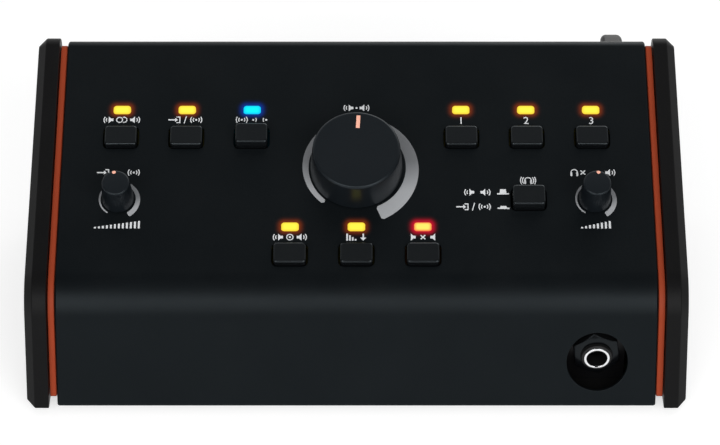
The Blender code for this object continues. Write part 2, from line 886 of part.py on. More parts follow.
def shaft(name, panel, x, along, knob_top):
    """A dial's shaft, from inside its potentiometer to inside its knob."""
    high = knob_top - knob_roof - seat_gap
    radius = shaft_diameter / 2
    mesh = turned([(0.0, shaft_low), (radius, shaft_low), (radius, high - seat_gap),
                   (radius - seat_gap, high), (0.0, high)], bore_segments)
    place(name, mesh, "steel", panel, (x, along, 0.0))


def potentiometer(name, panel, x, along, body, bush_diameter):
    """A potentiometer on the control board: body, bush and the bore that the shaft turns in."""
    bush_high = -sheet_thickness - seat_gap
    bush = prism(circle(bush_diameter, bore_segments), pot_base + pot_height / 2, bush_high)
    bore = prism(circle(shaft_bore, bore_segments), pot_base + pot_floor, bush_high + cutter_overrun)
    mesh = combined(prism(body, pot_base, pot_base + pot_height), [("UNION", bush), ("DIFFERENCE", bore)])
    place(name, mesh, "zinc", panel, (x, along, 0.0))


def pointer_place():
    """Distance of the pointer's middle from the main dial's axis."""
    return main_knob_top_diameter / 2 - pointer_rim - pointer_length / 2


def main_dial(panel, x, along):
    """The large dial: knob with an inlaid pointer line, shaft and potentiometer."""
    knob = knob_mesh(main_knob_diameter, main_knob_top_diameter, main_knob_top, main_knob_edge, knob_segments)
    low = main_knob_top - pointer_depth
    slot = moved(prism(rectangle(pointer_width + 2 * inlay_gap, pointer_length + 2 * inlay_gap),
                       low - seat_gap, main_knob_top + cutter_overrun), 0.0, pointer_place())
    knob = combined(knob, [("DIFFERENCE", slot)])
    pointer = moved(prism(rectangle(pointer_width, pointer_length), low, main_knob_top), 0.0, pointer_place())
    at = (x, along, 0.0)
    place("main_knob", knob, "black plastic", panel, at, main_rest_turn)
    place("main_pointer", pointer, "pointer", panel, at, main_rest_turn)
    shaft("main_shaft", panel, x, along, main_knob_top)
    potentiometer("main_pot", panel, x, along, circle(main_pot_diameter, small_segments), main_bush_diameter)


def small_dial(name, panel, x, along):
    """A slim dial: knob, shaft and potentiometer."""
    knob = knob_mesh(small_knob_diameter, small_knob_top_diameter, small_knob_top, small_knob_edge,
                     small_segments)
    place(f"{name}_knob", knob, "black plastic", panel, (x, along, 0.0))
    shaft(f"{name}_shaft", panel, x, along, small_knob_top)
    potentiometer(f"{name}_pot", panel, x, along, rectangle(small_pot_width, small_pot_width),
                  small_bush_diameter)


# Sockets

def socket_body(width, height, depth, front, nose, bore, bore_depth, rise=0.0):
    """A socket's block behind its face at height front, with a round nose and a bore."""
    block = moved(prism(rectangle(width, height), front - depth, front), 0.0, rise)
    nose_diameter_here, nose_high = nose
    sleeve = prism(circle(nose_diameter_here, bore_segments), front - depth / 2, nose_high)
    hole = prism(circle(bore, bore_segments), nose_high - bore_depth, nose_high + cutter_overrun)
    return combined(block, [("UNION", sleeve), ("DIFFERENCE", hole)])


def rear_jacks(wall):
    """The row of sockets behind the rear wall, with their threaded noses through it."""
    front = -sheet_thickness - seat_gap
    bore_depth = rear_nose_stand - front + jack_depth - jack_floor
    mesh = socket_body(jack_width, jack_height, jack_depth, front, (nose_diameter, rear_nose_stand),
                       plug_bore, bore_depth)
    for i, x in enumerate(rear_jack_places()):
        place(f"rear_jack_{i + 1}", mesh, "black plastic", wall, (x, 0.0, 0.0))


def phones_jack(front):
    """The headphone socket behind the front hole: block, threaded nose, hexagon nut and ferrule."""
    nose_high = -ferrule_setback - ferrule_stand
    nut_low = -nut_setback - nut_thickness
    face = nut_low - bracket_thickness - 2 * seat_gap
    bore_depth = nose_high - face + jack_depth - jack_floor
    mesh = socket_body(jack_width, jack_height, jack_depth, face, (nose_diameter, nose_high),
                       plug_bore, bore_depth)
    seat = prism(circle(ferrule_diameter + 2 * trim_gap, bore_segments),
                 -ferrule_setback - ferrule_length - seat_gap, nose_high + cutter_overrun)
    mesh = combined(mesh, [("DIFFERENCE", seat)])
    place("phones_jack", mesh, "black plastic", front)
    place("phones_jack_nut", nut_mesh(nut_low, -nut_setback), "gloss black", front)
    ring = tube(ferrule_diameter, plug_bore, -ferrule_setback - ferrule_length, -ferrule_setback, bore_segments)
    notch = moved(prism(rectangle(ferrule_notch, 2 * ferrule_notch_depth), -ferrule_setback - ferrule_notch,
                        cutter_overrun), 0.0, -plug_bore / 2)
    ring = combined(ring, [("DIFFERENCE", notch)])
    place("phones_jack_ferrule", ring, "chrome", front)


def phones_bracket():
    """The folded plate that the headphone socket is clamped to, standing on the base plate."""
    front_y = front_hole_place + nut_setback + nut_thickness + seat_gap
    low = base_top + seat_gap
    outline = [Vector(p) for p in (
        (front_y, low), (front_y + bracket_foot, low),
        (front_y + bracket_foot, low + bracket_thickness),
        (front_y + bracket_thickness, low + bracket_thickness),
        (front_y + bracket_thickness, low + bracket_height), (front_y, low + bracket_height))]
    plate = across(prism(outline, outer_column - bracket_width / 2, outer_column + bracket_width / 2))
    hole = prism(circle(nose_diameter + 2 * seat_gap, bore_segments),
                 -bracket_foot, bracket_foot)
    hole.transform(Matrix.Translation((outer_column, front_y, jack_axis_height))
                   @ Matrix.Rotation(math.pi / 2, 4, "X"))
    place("phones_bracket", combined(plate, [("DIFFERENCE", hole)]), "zinc")


def nut_mesh(low, high):
    """A hexagon nut with its front corners turned off."""
    corner = nut_flats / math.sqrt(3)
    hexagon = prism([Vector((math.sin(a), math.cos(a))) * corner
                     for a in (nut_turn + math.pi / 3 * i for i in range(6))], low, high)
    cone = turned([(0.0, low - cutter_overrun), (corner + nut_chamfer, low - cutter_overrun),
                   (corner + nut_chamfer, high - nut_chamfer), (corner - nut_chamfer, high), (0.0, high)],
                  small_segments)
    bore = prism(circle(nose_diameter + 2 * seat_gap, bore_segments), low - cutter_overrun, high + cutter_overrun)
    return combined(hexagon, [("INTERSECT", cone), ("DIFFERENCE", bore)])


def aux_jack(wall):
    """The small stereo socket in the rear wall."""
    front = -sheet_thickness - seat_gap
    rise = jack_height / 2 - aux_height / 2
    mesh = socket_body(aux_width, aux_height, aux_depth, front, (aux_nose_diameter, aux_nose_stand),
                       aux_bore, aux_nose_stand - front + aux_depth - jack_floor, rise)
    place("aux_jack", mesh, "black plastic", wall, (aux_place, 0.0, 0.0))


def dc_inlet(wall):
    """The low-voltage inlet: a collar in the rear wall with a contact pin in its bore."""
    front = -sheet_thickness - seat_gap
    bore_low = front - dc_depth + jack_floor
    mesh = socket_body(dc_width, jack_height, dc_depth, front, (dc_collar_diameter, dc_collar_stand),
                       dc_bore, dc_collar_stand - bore_low)
    pin = prism(circle(dc_pin, bore_segments), bore_low - jack_floor / 2, dc_collar_stand - dc_pin_setback)
    mesh = combined(mesh, [("UNION", pin)])
    place("dc_inlet", mesh, "black plastic", wall, (dc_place, 0.0, 0.0))


def power_fittings(wall):
    """The power switch behind the rear wall and the push button that stands out of it."""
    drop = jack_axis_height - power_height()
    front = -sheet_thickness - seat_gap
    body = prism(rectangle(power_body_width, power_body_width), front - power_body_depth, front)
    flange = prism(rectangle(power_flange_width, power_body_width), front - power_flange_thickness, front)
    bore_width = power_width - 2 * power_corner
    bore = prism(rectangle(bore_width + 2 * seat_gap, bore_width + 2 * seat_gap),
                 front - power_body_depth + jack_floor, front + cutter_overrun)
    mesh = combined(body, [("UNION", flange), ("DIFFERENCE", bore)])
    at = (power_place, drop, 0.0)
    place("power_switch", mesh, "black plastic", wall, at)
    low = front + power_overtravel + seat_gap
    levels = [(power_ring(0.0), low)]
    for i in range(corner_steps + 1):
        angle = math.pi / 2 * i / corner_steps
        levels.append((power_ring(power_end_inset * (1 - math.cos(angle))),
                       power_stand - power_end_depth * (1 - math.sin(angle))))
    stem = prism(rectangle(bore_width, bore_width),
                 front - power_body_depth + jack_floor + power_overtravel + seat_gap, power_stand / 2)
    mesh = combined(stack(levels), [("UNION", stem)])
    place("power_button", mesh, "gloss black", wall, at)


def power_ring(inset):
    """The power button's outline, drawn in by inset."""
    width = power_width - 2 * inset
    return rounded_rectangle(width, width, power_corner - inset / 2)


# Assembly

def build():
    """Makes every piece."""
    clear_scene()
    panel = frame("panel_frame", (0.0, bend.x, bend.y), panel_tilt)
    wall = frame("rear_frame", (0.0, rear_face, jack_axis_height), -math.pi / 2)
    front = frame("socket_frame", (outer_column, front_hole_place, jack_axis_height), math.pi / 2)
    housing_shell()
    base_plate()
    feet()
    for side_name, side in (("left", -1), ("right", 1)):
        trim_plate(f"{side_name}_trim_plate", side)
        cheek(f"{side_name}_cheek", side)
    control_board(panel)
    main_board()
    ribbon_cable()
    for place_of_button in button_places():
        name, x, along, out = place_of_button
        button(name, panel, x, along, out)
    for name, x, along, lamp in window_places():
        window(name, panel, x, along, lamp)
    for name, x, along in dial_places():
        if name == "main":
            main_dial(panel, x, along)
        else:
            small_dial(name, panel, x, along)
    rear_jacks(wall)
    phones_jack(front)
    phones_bracket()
    aux_jack(wall)
    dc_inlet(wall)
    power_fittings(wall)
    bpy.context.view_layer.update()


build()
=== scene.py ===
"""Looks of the studio monitor controller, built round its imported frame.

All is in metres in the part's own frame. Places on the control panel are (across, up), measured
along the panel from the main dial's axis, and heights stand out from the panel's face.
"""
import json
import math

import bmesh
import bpy
from mathutils import Matrix, Vector


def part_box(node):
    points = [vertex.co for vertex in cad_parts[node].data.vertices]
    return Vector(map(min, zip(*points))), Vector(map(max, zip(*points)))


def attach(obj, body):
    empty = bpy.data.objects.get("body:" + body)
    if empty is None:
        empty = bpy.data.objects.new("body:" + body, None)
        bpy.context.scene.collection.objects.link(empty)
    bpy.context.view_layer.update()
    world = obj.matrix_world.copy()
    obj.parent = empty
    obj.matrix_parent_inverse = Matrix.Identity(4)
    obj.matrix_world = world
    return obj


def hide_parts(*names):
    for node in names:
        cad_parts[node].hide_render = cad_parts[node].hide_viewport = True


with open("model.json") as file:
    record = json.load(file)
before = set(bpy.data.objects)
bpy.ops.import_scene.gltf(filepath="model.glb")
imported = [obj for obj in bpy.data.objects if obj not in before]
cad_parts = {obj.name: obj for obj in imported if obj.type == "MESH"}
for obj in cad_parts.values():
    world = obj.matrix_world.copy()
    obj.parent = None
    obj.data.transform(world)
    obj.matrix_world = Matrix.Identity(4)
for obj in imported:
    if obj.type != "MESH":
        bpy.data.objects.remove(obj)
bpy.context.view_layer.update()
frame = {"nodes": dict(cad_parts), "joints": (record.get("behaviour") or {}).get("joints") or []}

# Housing sheet
front_lean = math.radians(22.0)
bend_radius = 0.0190
rear_bend_radius = 0.0035
sheet_thickness = 0.0012
side_round = 0.0008
toe_round = 0.0007
rim_round = 0.00025
cutter_lift = 0.0000025

# Cheeks and trim plates
cheek_overhang = 0.0010
cheek_chamfer_width = 0.0027
cheek_chamfer_depth = 0.0026
cheek_bottom_chamfer = 0.0009
cheek_toe_radius = 0.0006
cheek_edge_round = 0.0007
cheek_inner_round = 0.0003
cheek_lead_in = 0.0009
cheek_lead_out = 0.0039
cheek_screw_hole = 0.0062
cheek_screw_depth = 0.0040
cheek_screw_edge = 0.0140
trim_inset = 0.0014
trim_round = 0.0002

# Buttons and windows
opening_gap = 0.0005
opening_corner = 0.0017
cap_corner = 0.0010
cap_edge = 0.0006
cap_length = 0.0065
stem_width = 0.0030
stem_corner_share = 0.125
window_width = 0.0055
window_height = 0.0030
window_corner = 0.0010
window_round = 0.00015
window_gap = 0.0001

# Dials
dial_names = ("main", "volume", "phones")
main_top_diameter = 0.0277
main_edge = 0.0010
small_top_diameter = 0.0088
small_edge = 0.0007
pointer_width = 0.0012
pointer_length = 0.0045
knob_foot_round = 0.0003
knob_roof = 0.0020
shaft_bore = 0.0066
pointer_gap = 0.0001
dot_diameter = 0.00115
dot_rim = 0.00015
dot_stand = 0.00004
dot_turns = {"volume": math.radians(10.0), "phones": math.radians(-8.0)}

# Sockets and the power button
seat_gap = 0.0003
front_hole_diameter = 0.0190
plug_bore = 0.0065
nose_diameter = 0.0096
socket_floor = 0.0020
aux_bore = 0.0036
aux_nose_diameter = 0.0058
dc_bore = 0.0057
dc_pin = 0.0020
dc_pin_recess = 0.0009
dc_collar_diameter = 0.0078
power_corner = 0.0016
power_end_depth = 0.0032
power_end_inset = 0.0014
power_overtravel = 0.0004
block_corner = 0.0006
block_setback = 0.0018
mouth_round = 0.0002
ferrule_notch = 0.0010
ferrule_notch_depth = 0.0003
ferrule_round = 0.0001
contact_width = 0.0024
contact_bow = 0.0012
contact_thickness = 0.00015
nut_flats = 0.0139
nut_margin = 0.0007
nut_chamfer_reach = 0.0014
nut_chamfer_rise = 0.001365
nut_edge = 0.0002
nut_turn = math.radians(-8.0)
rear_nut_thickness = 0.0020
rear_nut_flats = 0.0125
washer_diameter = 0.0138
washer_thickness = 0.0005
thread_pitch = 0.00075
thread_depth = 0.00022

# Fasteners and feet
screw_head = 0.0054
screw_height = 0.0024
screw_socket = 0.0025
screw_dome = 0.003348
base_screw_head = 0.0056
base_screw_height = 0.0009
base_screw_inset = 0.0080
foot_round = 0.0009
foot_well = 0.0052
foot_well_depth = 0.0016
foot_ground_inset = 0.00108
foot_screw_head = 0.00442
foot_screw_height = 0.00096
foot_screw_socket = 0.0020

# Print
print_stand = 0.00003
print_sink = 0.00001
mark_height = 0.0026
number_size = 0.003692
bar_pitch = 0.001248
bar_width = 0.000624
first_bar_height = 0.00052
bar_counts = {"volume": 12, "phones": 8}
window_label_drop = 0.0037
number_drop = 0.0041
main_label_rise = 0.0222
dial_label_rise = 0.0097
dial_label_drop = 0.0090
listen_label_rise = 0.0068
listen_row_offset = 0.0026
listen_out_reach = 0.0161
listen_in_reach = 0.0169
state_reach = 0.0080
main_arc_inner = 0.0154
main_arc_shift = Vector((0.00024, 0.00039))
small_arc_inner = 0.00555
small_arc_shift = Vector((0.0, 0.0001))
main_arc_widths = (0.0016, 0.0050)
main_arc_turns = (-140.5, 157.5)
main_arc_corner = 0.0006
small_arc_widths = (0.0004, 0.0017)
small_arc_turns = (-148.0, 149.0)
small_arc_corner = 0.0003
arc_growth = 1.3
# Painted shade on the dial arcs: where it begins and where it is full, up the panel in shares of the arc's
# inner radius
arc_painted_shade_low = -0.55
arc_painted_shade_high = 0.15

# Facets and shading
bend_steps = 48
edge_steps = 6
corner_steps = 8
round_segments = 128
small_segments = 64
disc_segments = 32
arc_steps = 160
sharp_angle = math.radians(34.0)
normal_weight = 60


# Places taken from the frame

def joint(name):
    """One joint of the frame."""
    return next(j for j in frame["joints"] if j["name"] == name)


def points_of(node):
    """The corners of a CAD node."""
    return [v.co for v in frame["nodes"][node].data.vertices]


def box_in(node, matrix):
    """A node's lowest and highest corner in turned axes."""
    back = matrix.inverted()
    places = [back @ p for p in points_of(node)]
    return Vector(map(min, zip(*places))), Vector(map(max, zip(*places)))


def middle(low, high):
    """Halfway between two corners."""
    return (low + high) / 2


normal = Vector(joint("main_turn")["axis"]).normalized()
panel_tilt = math.atan2(-normal.y, normal.z)
main_place = Vector(joint("main_turn")["pos_m"])
panel_face = max(p.dot(normal) for p in points_of("housing_shell"))
panel_origin = main_place + normal * (panel_face - main_place.dot(normal))
panel = Matrix.Translation(panel_origin) @ Matrix.Rotation(panel_tilt, 4, "X")
housing_low, housing_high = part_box("housing_shell")
half_housing = housing_high.x
half_inside = half_housing - sheet_thickness
rear_face = housing_high.y
front_foot = Vector((housing_low.y, housing_low.z))
front_direction = Vector((math.sin(front_lean), math.cos(front_lean)))
panel_direction = Vector((math.cos(panel_tilt), math.sin(panel_tilt)))
panel_point = Vector((panel_origin.y, panel_origin.z))
jack_middle = middle(*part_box("phones_jack_nut"))
rear = Matrix.Translation((0.0, rear_face, 0.0)) @ Matrix.Rotation(-math.pi / 2, 4, "X")
socket = (Matrix.Translation((jack_middle.x, 0.0, jack_middle.z))
          @ Matrix.Rotation(math.pi / 2, 4, "X"))


def centre_on(face, node):
    """The middle of a node as seen square to a face."""
    return middle(*box_in(node, face))


def nodes_named(start):
    """The CAD nodes whose names begin alike."""
    return sorted(n for n in frame["nodes"] if n.startswith(start))


def window_nodes():
    """The CAD nodes of the nine lit windows."""
    return nodes_named("upper_window_") + nodes_named("lower_window_")


# Flat outlines

def meet(point, direction, other, other_direction):
    """Where two lines of the side profile cross."""
    apart = other - point
    return point + direction * (apart.cross(other_direction) / direction.cross(other_direction))


bend = meet(front_foot, front_direction, panel_point, panel_direction)


def fillet(before, corner, after, radius, steps):
    """Points of the arc that rounds a corner."""
    back = (before - corner).normalized()
    ahead = (after - corner).normalized()
    half = math.acos(max(-1.0, min(1.0, back.dot(ahead)))) / 2
    reach = radius / math.tan(half)
    centre = corner + (back + ahead).normalized() * (radius / math.sin(half))
    start = corner + back * reach - centre
    sweep = math.pi - 2 * half
    side = math.copysign(1.0, start.cross(corner + ahead * reach - centre))
    return [centre + Matrix.Rotation(side * sweep * i / steps, 2) @ start for i in range(steps + 1)]


def side_profile(inset, bottom, toe):
    """Outline of the side in Y and Z, moved inwards by inset, cut off at bottom, rounded at the toe."""
    front_in = Vector((front_direction.y, -front_direction.x)) * inset
    panel_in = Vector((panel_direction.y, -panel_direction.x)) * inset
    front_low = meet(front_foot + front_in, front_direction, Vector((0.0, bottom)), Vector((1.0, 0.0)))
    bend_corner = meet(front_foot + front_in, front_direction, panel_point + panel_in, panel_direction)
    rear_corner = meet(panel_point + panel_in, panel_direction, Vector((rear_face - inset, 0.0)),
                       Vector((0.0, -1.0)))
    rear_low = Vector((rear_face - inset, bottom))
    return (
        fillet(rear_low, front_low, bend_corner, toe, edge_steps)
        + fillet(front_low, bend_corner, rear_corner, bend_radius - inset, bend_steps)
        + fillet(bend_corner, rear_corner, rear_low, rear_bend_radius - inset, edge_steps * 2)
        + [rear_low]
    )


def circle(diameter, segments):
    """A regular polygon with its corners on the circle."""
    angles = [2 * math.pi * i / segments for i in range(segments)]
    return [Vector((math.cos(a), math.sin(a))) * (diameter / 2) for a in angles]


def rounded_rectangle(width, height, radius, steps=corner_steps):
    """A rectangle about the middle with round corners."""
    corners = [Vector((sx * width / 2, sy * height / 2)) for sx, sy in ((-1, -1), (1, -1), (1, 1), (-1, 1))]
    points = []
    for i, corner in enumerate(corners):
        points += fillet(corners[i - 1], corner, corners[(i + 1) % 4], radius, steps)
    return points


def quarter_round(radius, steps=edge_steps, depth=None):
    """Pairs of (drawn in, below the top) that round an outer edge from its side to its top."""
    angles = [math.pi / 2 * i / steps for i in range(steps + 1)]
    return [(radius * (1 - math.cos(a)), (depth or radius) * (1 - math.sin(a))) for a in angles]


def round_edge(radius, height, rounding, steps=edge_steps, side=-1):
    """Pairs of (radius, height) that round a turned top edge, inwards or, with side 1, outwards."""
    return [(radius + side * drawn, height - below) for drawn, below in quarter_round(rounding, steps)]


def soft_levels(size, corner, top, curve, tightening=0.5):
    """Levels of a block that draws in towards its top along (drawn in, below the top) pairs."""
    return [(rounded_rectangle(size.x - 2 * drawn, size.y - 2 * drawn, corner - tightening * drawn),
             top - below) for drawn, below in curve]


# Solids

def to_mesh(bm, name):
    """Turns the faces outwards and makes the mesh."""
    bmesh.ops.recalc_face_normals(bm, faces=bm.faces)
    mesh = bpy.data.meshes.new(name)
    bm.to_mesh(mesh)
    bm.free()
    return mesh


def loft(levels):
    """A solid through outlines of as many points each, given as (outline, height)."""
    bm = bmesh.new()
    rings = [[bm.verts.new((p.x, p.y, height)) for p in outline] for outline, height in levels]
    for lower, upper in zip(rings, rings[1:]):
        for i, corner in enumerate(lower):
            after = (i + 1) % len(lower)
            bm.faces.new((corner, lower[after], upper[after], upper[i]))
    bm.faces.new(rings[0])
    bm.faces.new(rings[-1])
    return to_mesh(bm, "loft")


def prism(outline, low, high):
    """An outline drawn out from one height to another."""
    return loft([(outline, low), (outline, high)])


def turned(profile, segments):
    """A solid of revolution about Z, from (radius, height) pairs that start and end on the axis."""
    bm = bmesh.new()
    rings = []
    for radius, height in profile:
        if radius == 0:
            rings.append([bm.verts.new((0.0, 0.0, height))])
        else:
            rings.append([bm.verts.new((p.x, p.y, height)) for p in circle(2 * radius, segments)])
    for lower, upper in zip(rings, rings[1:]):
        for i in range(segments):
            after = (i + 1) % segments
            corners = [lower[i % len(lower)], lower[after % len(lower)]]
            corners += [upper[after % len(upper)], upper[i % len(upper)]]
            bm.faces.new(list(dict.fromkeys(corners)))
    return to_mesh(bm, "turned")


def ring(profile, segments):
    """A closed ring about Z, from (radius, height) pairs that go round its section."""
    bm = bmesh.new()
    rings = [[bm.verts.new((p.x, p.y, height)) for p in circle(2 * radius, segments)]
             for radius, height in profile]
    for lower, upper in zip(rings, rings[1:] + rings[:1]):
        for i in range(segments):
            after = (i + 1) % segments
            bm.faces.new((lower[i], lower[after], upper[after], upper[i]))
    return to_mesh(bm, "ring")


def set_by(mesh, matrix):
    """The same mesh, turned and shifted by a matrix."""
    mesh.transform(matrix)
    return mesh


def moved(mesh, x, y, z=0.0):
    """The same mesh, shifted."""
    return set_by(mesh, Matrix.Translation((x, y, z)))


def across(mesh):
    """A mesh made from side outlines, turned so that they lie in Y and Z and it runs along X."""
    return set_by(mesh, Matrix(((0, 0, 1, 0), (1, 0, 0, 0), (0, 1, 0, 0), (0, 0, 0, 1))))


def mirrored(mesh):
    """A right-hand mesh made left-hand, with its faces turned back outwards."""
    mesh.transform(Matrix.Diagonal((-1, 1, 1, 1)))
    mesh.flip_normals()
    return mesh


def flat_map(mesh, name, half_width, half_height):
    """Maps a mesh by its own X and Y, as shares of a half width and a half height."""
    layer = mesh.uv_layers.new(name=name)
    for corner in mesh.loops:
        place = mesh.vertices[corner.vertex_index].co
        layer.data[corner.index].uv = (place.x / half_width, place.y / half_height)


def gathered(meshes):
    """Several meshes in one."""
    bm = bmesh.new()
    for mesh in meshes:
        bm.from_mesh(mesh)
        bpy.data.meshes.remove(mesh)
    together = bpy.data.meshes.new("gathered")
    bm.to_mesh(together)
    bm.free()
    return together


def linked(name, data):
    """A new object in the scene."""
    made = bpy.data.objects.new(name, data)
    bpy.context.collection.objects.link(made)
    return made


def evaluated_mesh(holder):
    """The plain mesh that an object's modifiers make."""
    bpy.context.view_layer.update()
    graph = bpy.context.evaluated_depsgraph_get()
    return bpy.data.meshes.new_from_object(holder.evaluated_get(graph), depsgraph=graph)


def discard(holder):
    """Removes a helper object and its mesh."""
    mesh = holder.data
    bpy.data.objects.remove(holder)
    bpy.data.meshes.remove(mesh)


def combined(base, steps):
    """The mesh that Booleans make of base, one after another, from pairs of operation and mesh."""
    holder = linked("holder", base)
    tools = []
    for operation, mesh in steps:
        tool = linked("tool", mesh)
        modifier = holder.modifiers.new(operation.title(), "BOOLEAN")
        modifier.operation = operation
        modifier.solver = "EXACT"
        modifier.object = tool
        tools.append(tool)
    result = evaluated_mesh(holder)
    for scrap in [holder] + tools:
        discard(scrap)
    return result


def flared(outline_at):
    """A cutter for a hole in the sheet that opens out at the sheet's face in a round rim."""
    levels = [(outline_at(0.0), -2 * sheet_thickness)]
    levels += [(outline_at(out), cutter_lift - below) for out, below in quarter_round(rim_round)]
    levels.append((outline_at(rim_round), sheet_thickness))
    return loft(levels)


def round_cutter(diameter, segments):
    """A cutter for a round hole."""
    return flared(lambda out: circle(diameter + 2 * out, segments))


def square_cutter(low, high, gap, corner):
    """A cutter for a hole with round corners, a gap wider than a piece from low to high."""
    at = middle(low, high)
    wide = high.x - low.x + 2 * gap
    tall = high.y - low.y + 2 * gap
    return moved(flared(lambda out: rounded_rectangle(wide + 2 * out, tall + 2 * out, corner + out)),
                 at.x, at.y)


def piece(name, mesh, material, replaces=(), place=None, flat=False, body="console"):
    """Puts a finished mesh in the scene as a named piece that rides on a body."""
    if place is not None:
        mesh.transform(place)
    if flat:
        mesh.shade_flat()
    else:
        mesh.shade_smooth()
        mesh.set_sharp_from_angle(angle=sharp_angle)
    mesh.materials.clear()
    mesh.materials.append(material)
    made = linked(name, mesh)
    if not flat:
        weigh_normals(made)
    if replaces:
        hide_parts(*replaces)
    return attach(made, body)


def weigh_normals(made):
    """Keeps large faces flat to the eye where small round edges meet them."""
    modifier = made.modifiers.new("Weighted", "WEIGHTED_NORMAL")
    modifier.keep_sharp = True
    modifier.weight = normal_weight
    plain = evaluated_mesh(made)
    made.modifiers.remove(modifier)
    old = made.data
    made.data = plain
    bpy.data.meshes.remove(old)


# Shader groups

def feed(tree, node, inputs):
    """Sets or links inputs of a node."""
    for key, value in inputs.items():
        if isinstance(value, bpy.types.NodeSocket):
            tree.links.new(value, node.inputs[key])
        else:
            node.inputs[key].default_value = value


def add(tree, kind, inputs=None, **settings):
    """Adds a node, sets its properties, and sets or links its inputs."""
    made = tree.nodes.new(kind)
    for key, value in settings.items():
        setattr(made, key, value)
    feed(tree, made, inputs or {})
    return made


def socket_type(start):
    """The socket type for a starting value, or the one that a text names."""
    if isinstance(start, str):
        return start
    if isinstance(start, tuple):
        return "NodeSocketColor" if len(start) == 4 else "NodeSocketVector"
    return "NodeSocketInt" if isinstance(start, int) else "NodeSocketFloat"


def new_group(name, kind, inputs, outputs, output_type="NodeSocketFloat"):
    """A node group with named sockets: its tree, its inputs and its output node."""
    tree = bpy.data.node_groups.new(name, kind)
    for label, start in inputs.items():
        made = tree.interface.new_socket(label, in_out="INPUT", socket_type=socket_type(start))
        if not isinstance(start, str):
            made.default_value = start
    for label in outputs:
        tree.interface.new_socket(label, in_out="OUTPUT", socket_type=output_type)
    given = tree.nodes.new("NodeGroupInput").outputs
    end = tree.nodes.new("NodeGroupOutput")
    return tree, given, end


def math_node(tree, operation, first, second=0.0, third=0.0):
    """The result of a sum on values or sockets."""
    return add(tree, "ShaderNodeMath", {0: first, 1: second, 2: third}, operation=operation).outputs[0]


def times(tree, value, factor):
    """A value or socket times a factor."""
    return math_node(tree, "MULTIPLY", value, factor)


def vector_math(tree, operation, first, second=(0.0, 0.0, 0.0)):
    """The result of a sum on vectors or sockets."""
    return add(tree, "ShaderNodeVectorMath", {0: first, 1: second}, operation=operation).outputs[0]


def object_place(tree):
    """The place on the object in metres."""
    return add(tree, "ShaderNodeTexCoord").outputs["Object"]


def noise(tree, place, scale, detail):
    """Soft noise from nought to one."""
    return add(tree, "ShaderNodeTexNoise", {"Vector": place, "Scale": scale, "Detail": detail}).outputs["Fac"]


def mixed(tree, share, first, second):
    """A colour between two, by a share."""
    return add(tree, "ShaderNodeMix", {0: share, 6: first, 7: second}, data_type="RGBA").outputs[2]


def bumped(tree, height, strength, distance):
    """The normal that a height gives a surface."""
    return add(tree, "ShaderNodeBump", {
        "Height": height, "Strength": strength, "Distance": distance}).outputs["Normal"]


def satin_grain():
    """Fine grain and soft clouding of a coated or moulded surface."""
    tree, given, end = new_group(
        "satin_grain", "ShaderNodeTree",
        {"Grain Scale": 2500.0, "Cloud Scale": 60.0, "Roughness": 0.5, "Spread": 0.1},
        ["Height", "Roughness", "Cloud"])
    place = object_place(tree)
    fine = noise(tree, place, given["Grain Scale"], 3.0)
    pits = add(tree, "ShaderNodeTexVoronoi", {"Vector": place, "Scale": given["Grain Scale"]},
               feature="SMOOTH_F1")
    cloud = noise(tree, place, given["Cloud Scale"], 5.0)
    patch = math_node(tree, "SUBTRACT", cloud, 0.5)
    speck = math_node(tree, "SUBTRACT", fine, 0.5)
    both = math_node(tree, "MULTIPLY_ADD", speck, 0.5, patch)
    feed(tree, end, {
        "Height": math_node(tree, "MULTIPLY_ADD", pits.outputs["Distance"], 0.6, fine),
        "Roughness": math_node(tree, "MULTIPLY_ADD", both, given["Spread"], given["Roughness"]),
        "Cloud": cloud})
    return tree


def settled_dust():
    """A light film that lies on faces turned up, thicker in patches."""
    tree, given, end = new_group(
        "settled_dust", "ShaderNodeTree", {"Amount": 0.05, "Patch Scale": 40.0}, ["Mask"])
    geometry = add(tree, "ShaderNodeNewGeometry")
    up = add(tree, "ShaderNodeSeparateXYZ", {0: geometry.outputs["Normal"]}).outputs["Z"]
    lying = math_node(tree, "MAXIMUM", up, 0.0)
    place = object_place(tree)
    patch = noise(tree, place, given["Patch Scale"], 6.0)
    fibre = noise(tree, place, 1800.0, 2.0)
    film = times(tree, lying, times(tree, patch, fibre))
    feed(tree, end, {"Mask": times(tree, film, given["Amount"])})
    return tree


def turned_lines():
    """Fine tool lines of a turned or rolled metal surface, along one direction."""
    tree, given, end = new_group(
        "turned_lines", "ShaderNodeTree",
        {"Stretch": (1.0, 1.0, 1.0), "Roughness": 0.3, "Spread": 0.1}, ["Height", "Roughness"])
    drawn = vector_math(tree, "MULTIPLY", object_place(tree), given["Stretch"])
    lines = noise(tree, drawn, 900.0, 4.0)
    spread = math_node(tree, "SUBTRACT", lines, 0.5)
    rough = math_node(tree, "MULTIPLY_ADD", spread, given["Spread"], given["Roughness"])
    feed(tree, end, {"Height": lines, "Roughness": rough})
    return tree


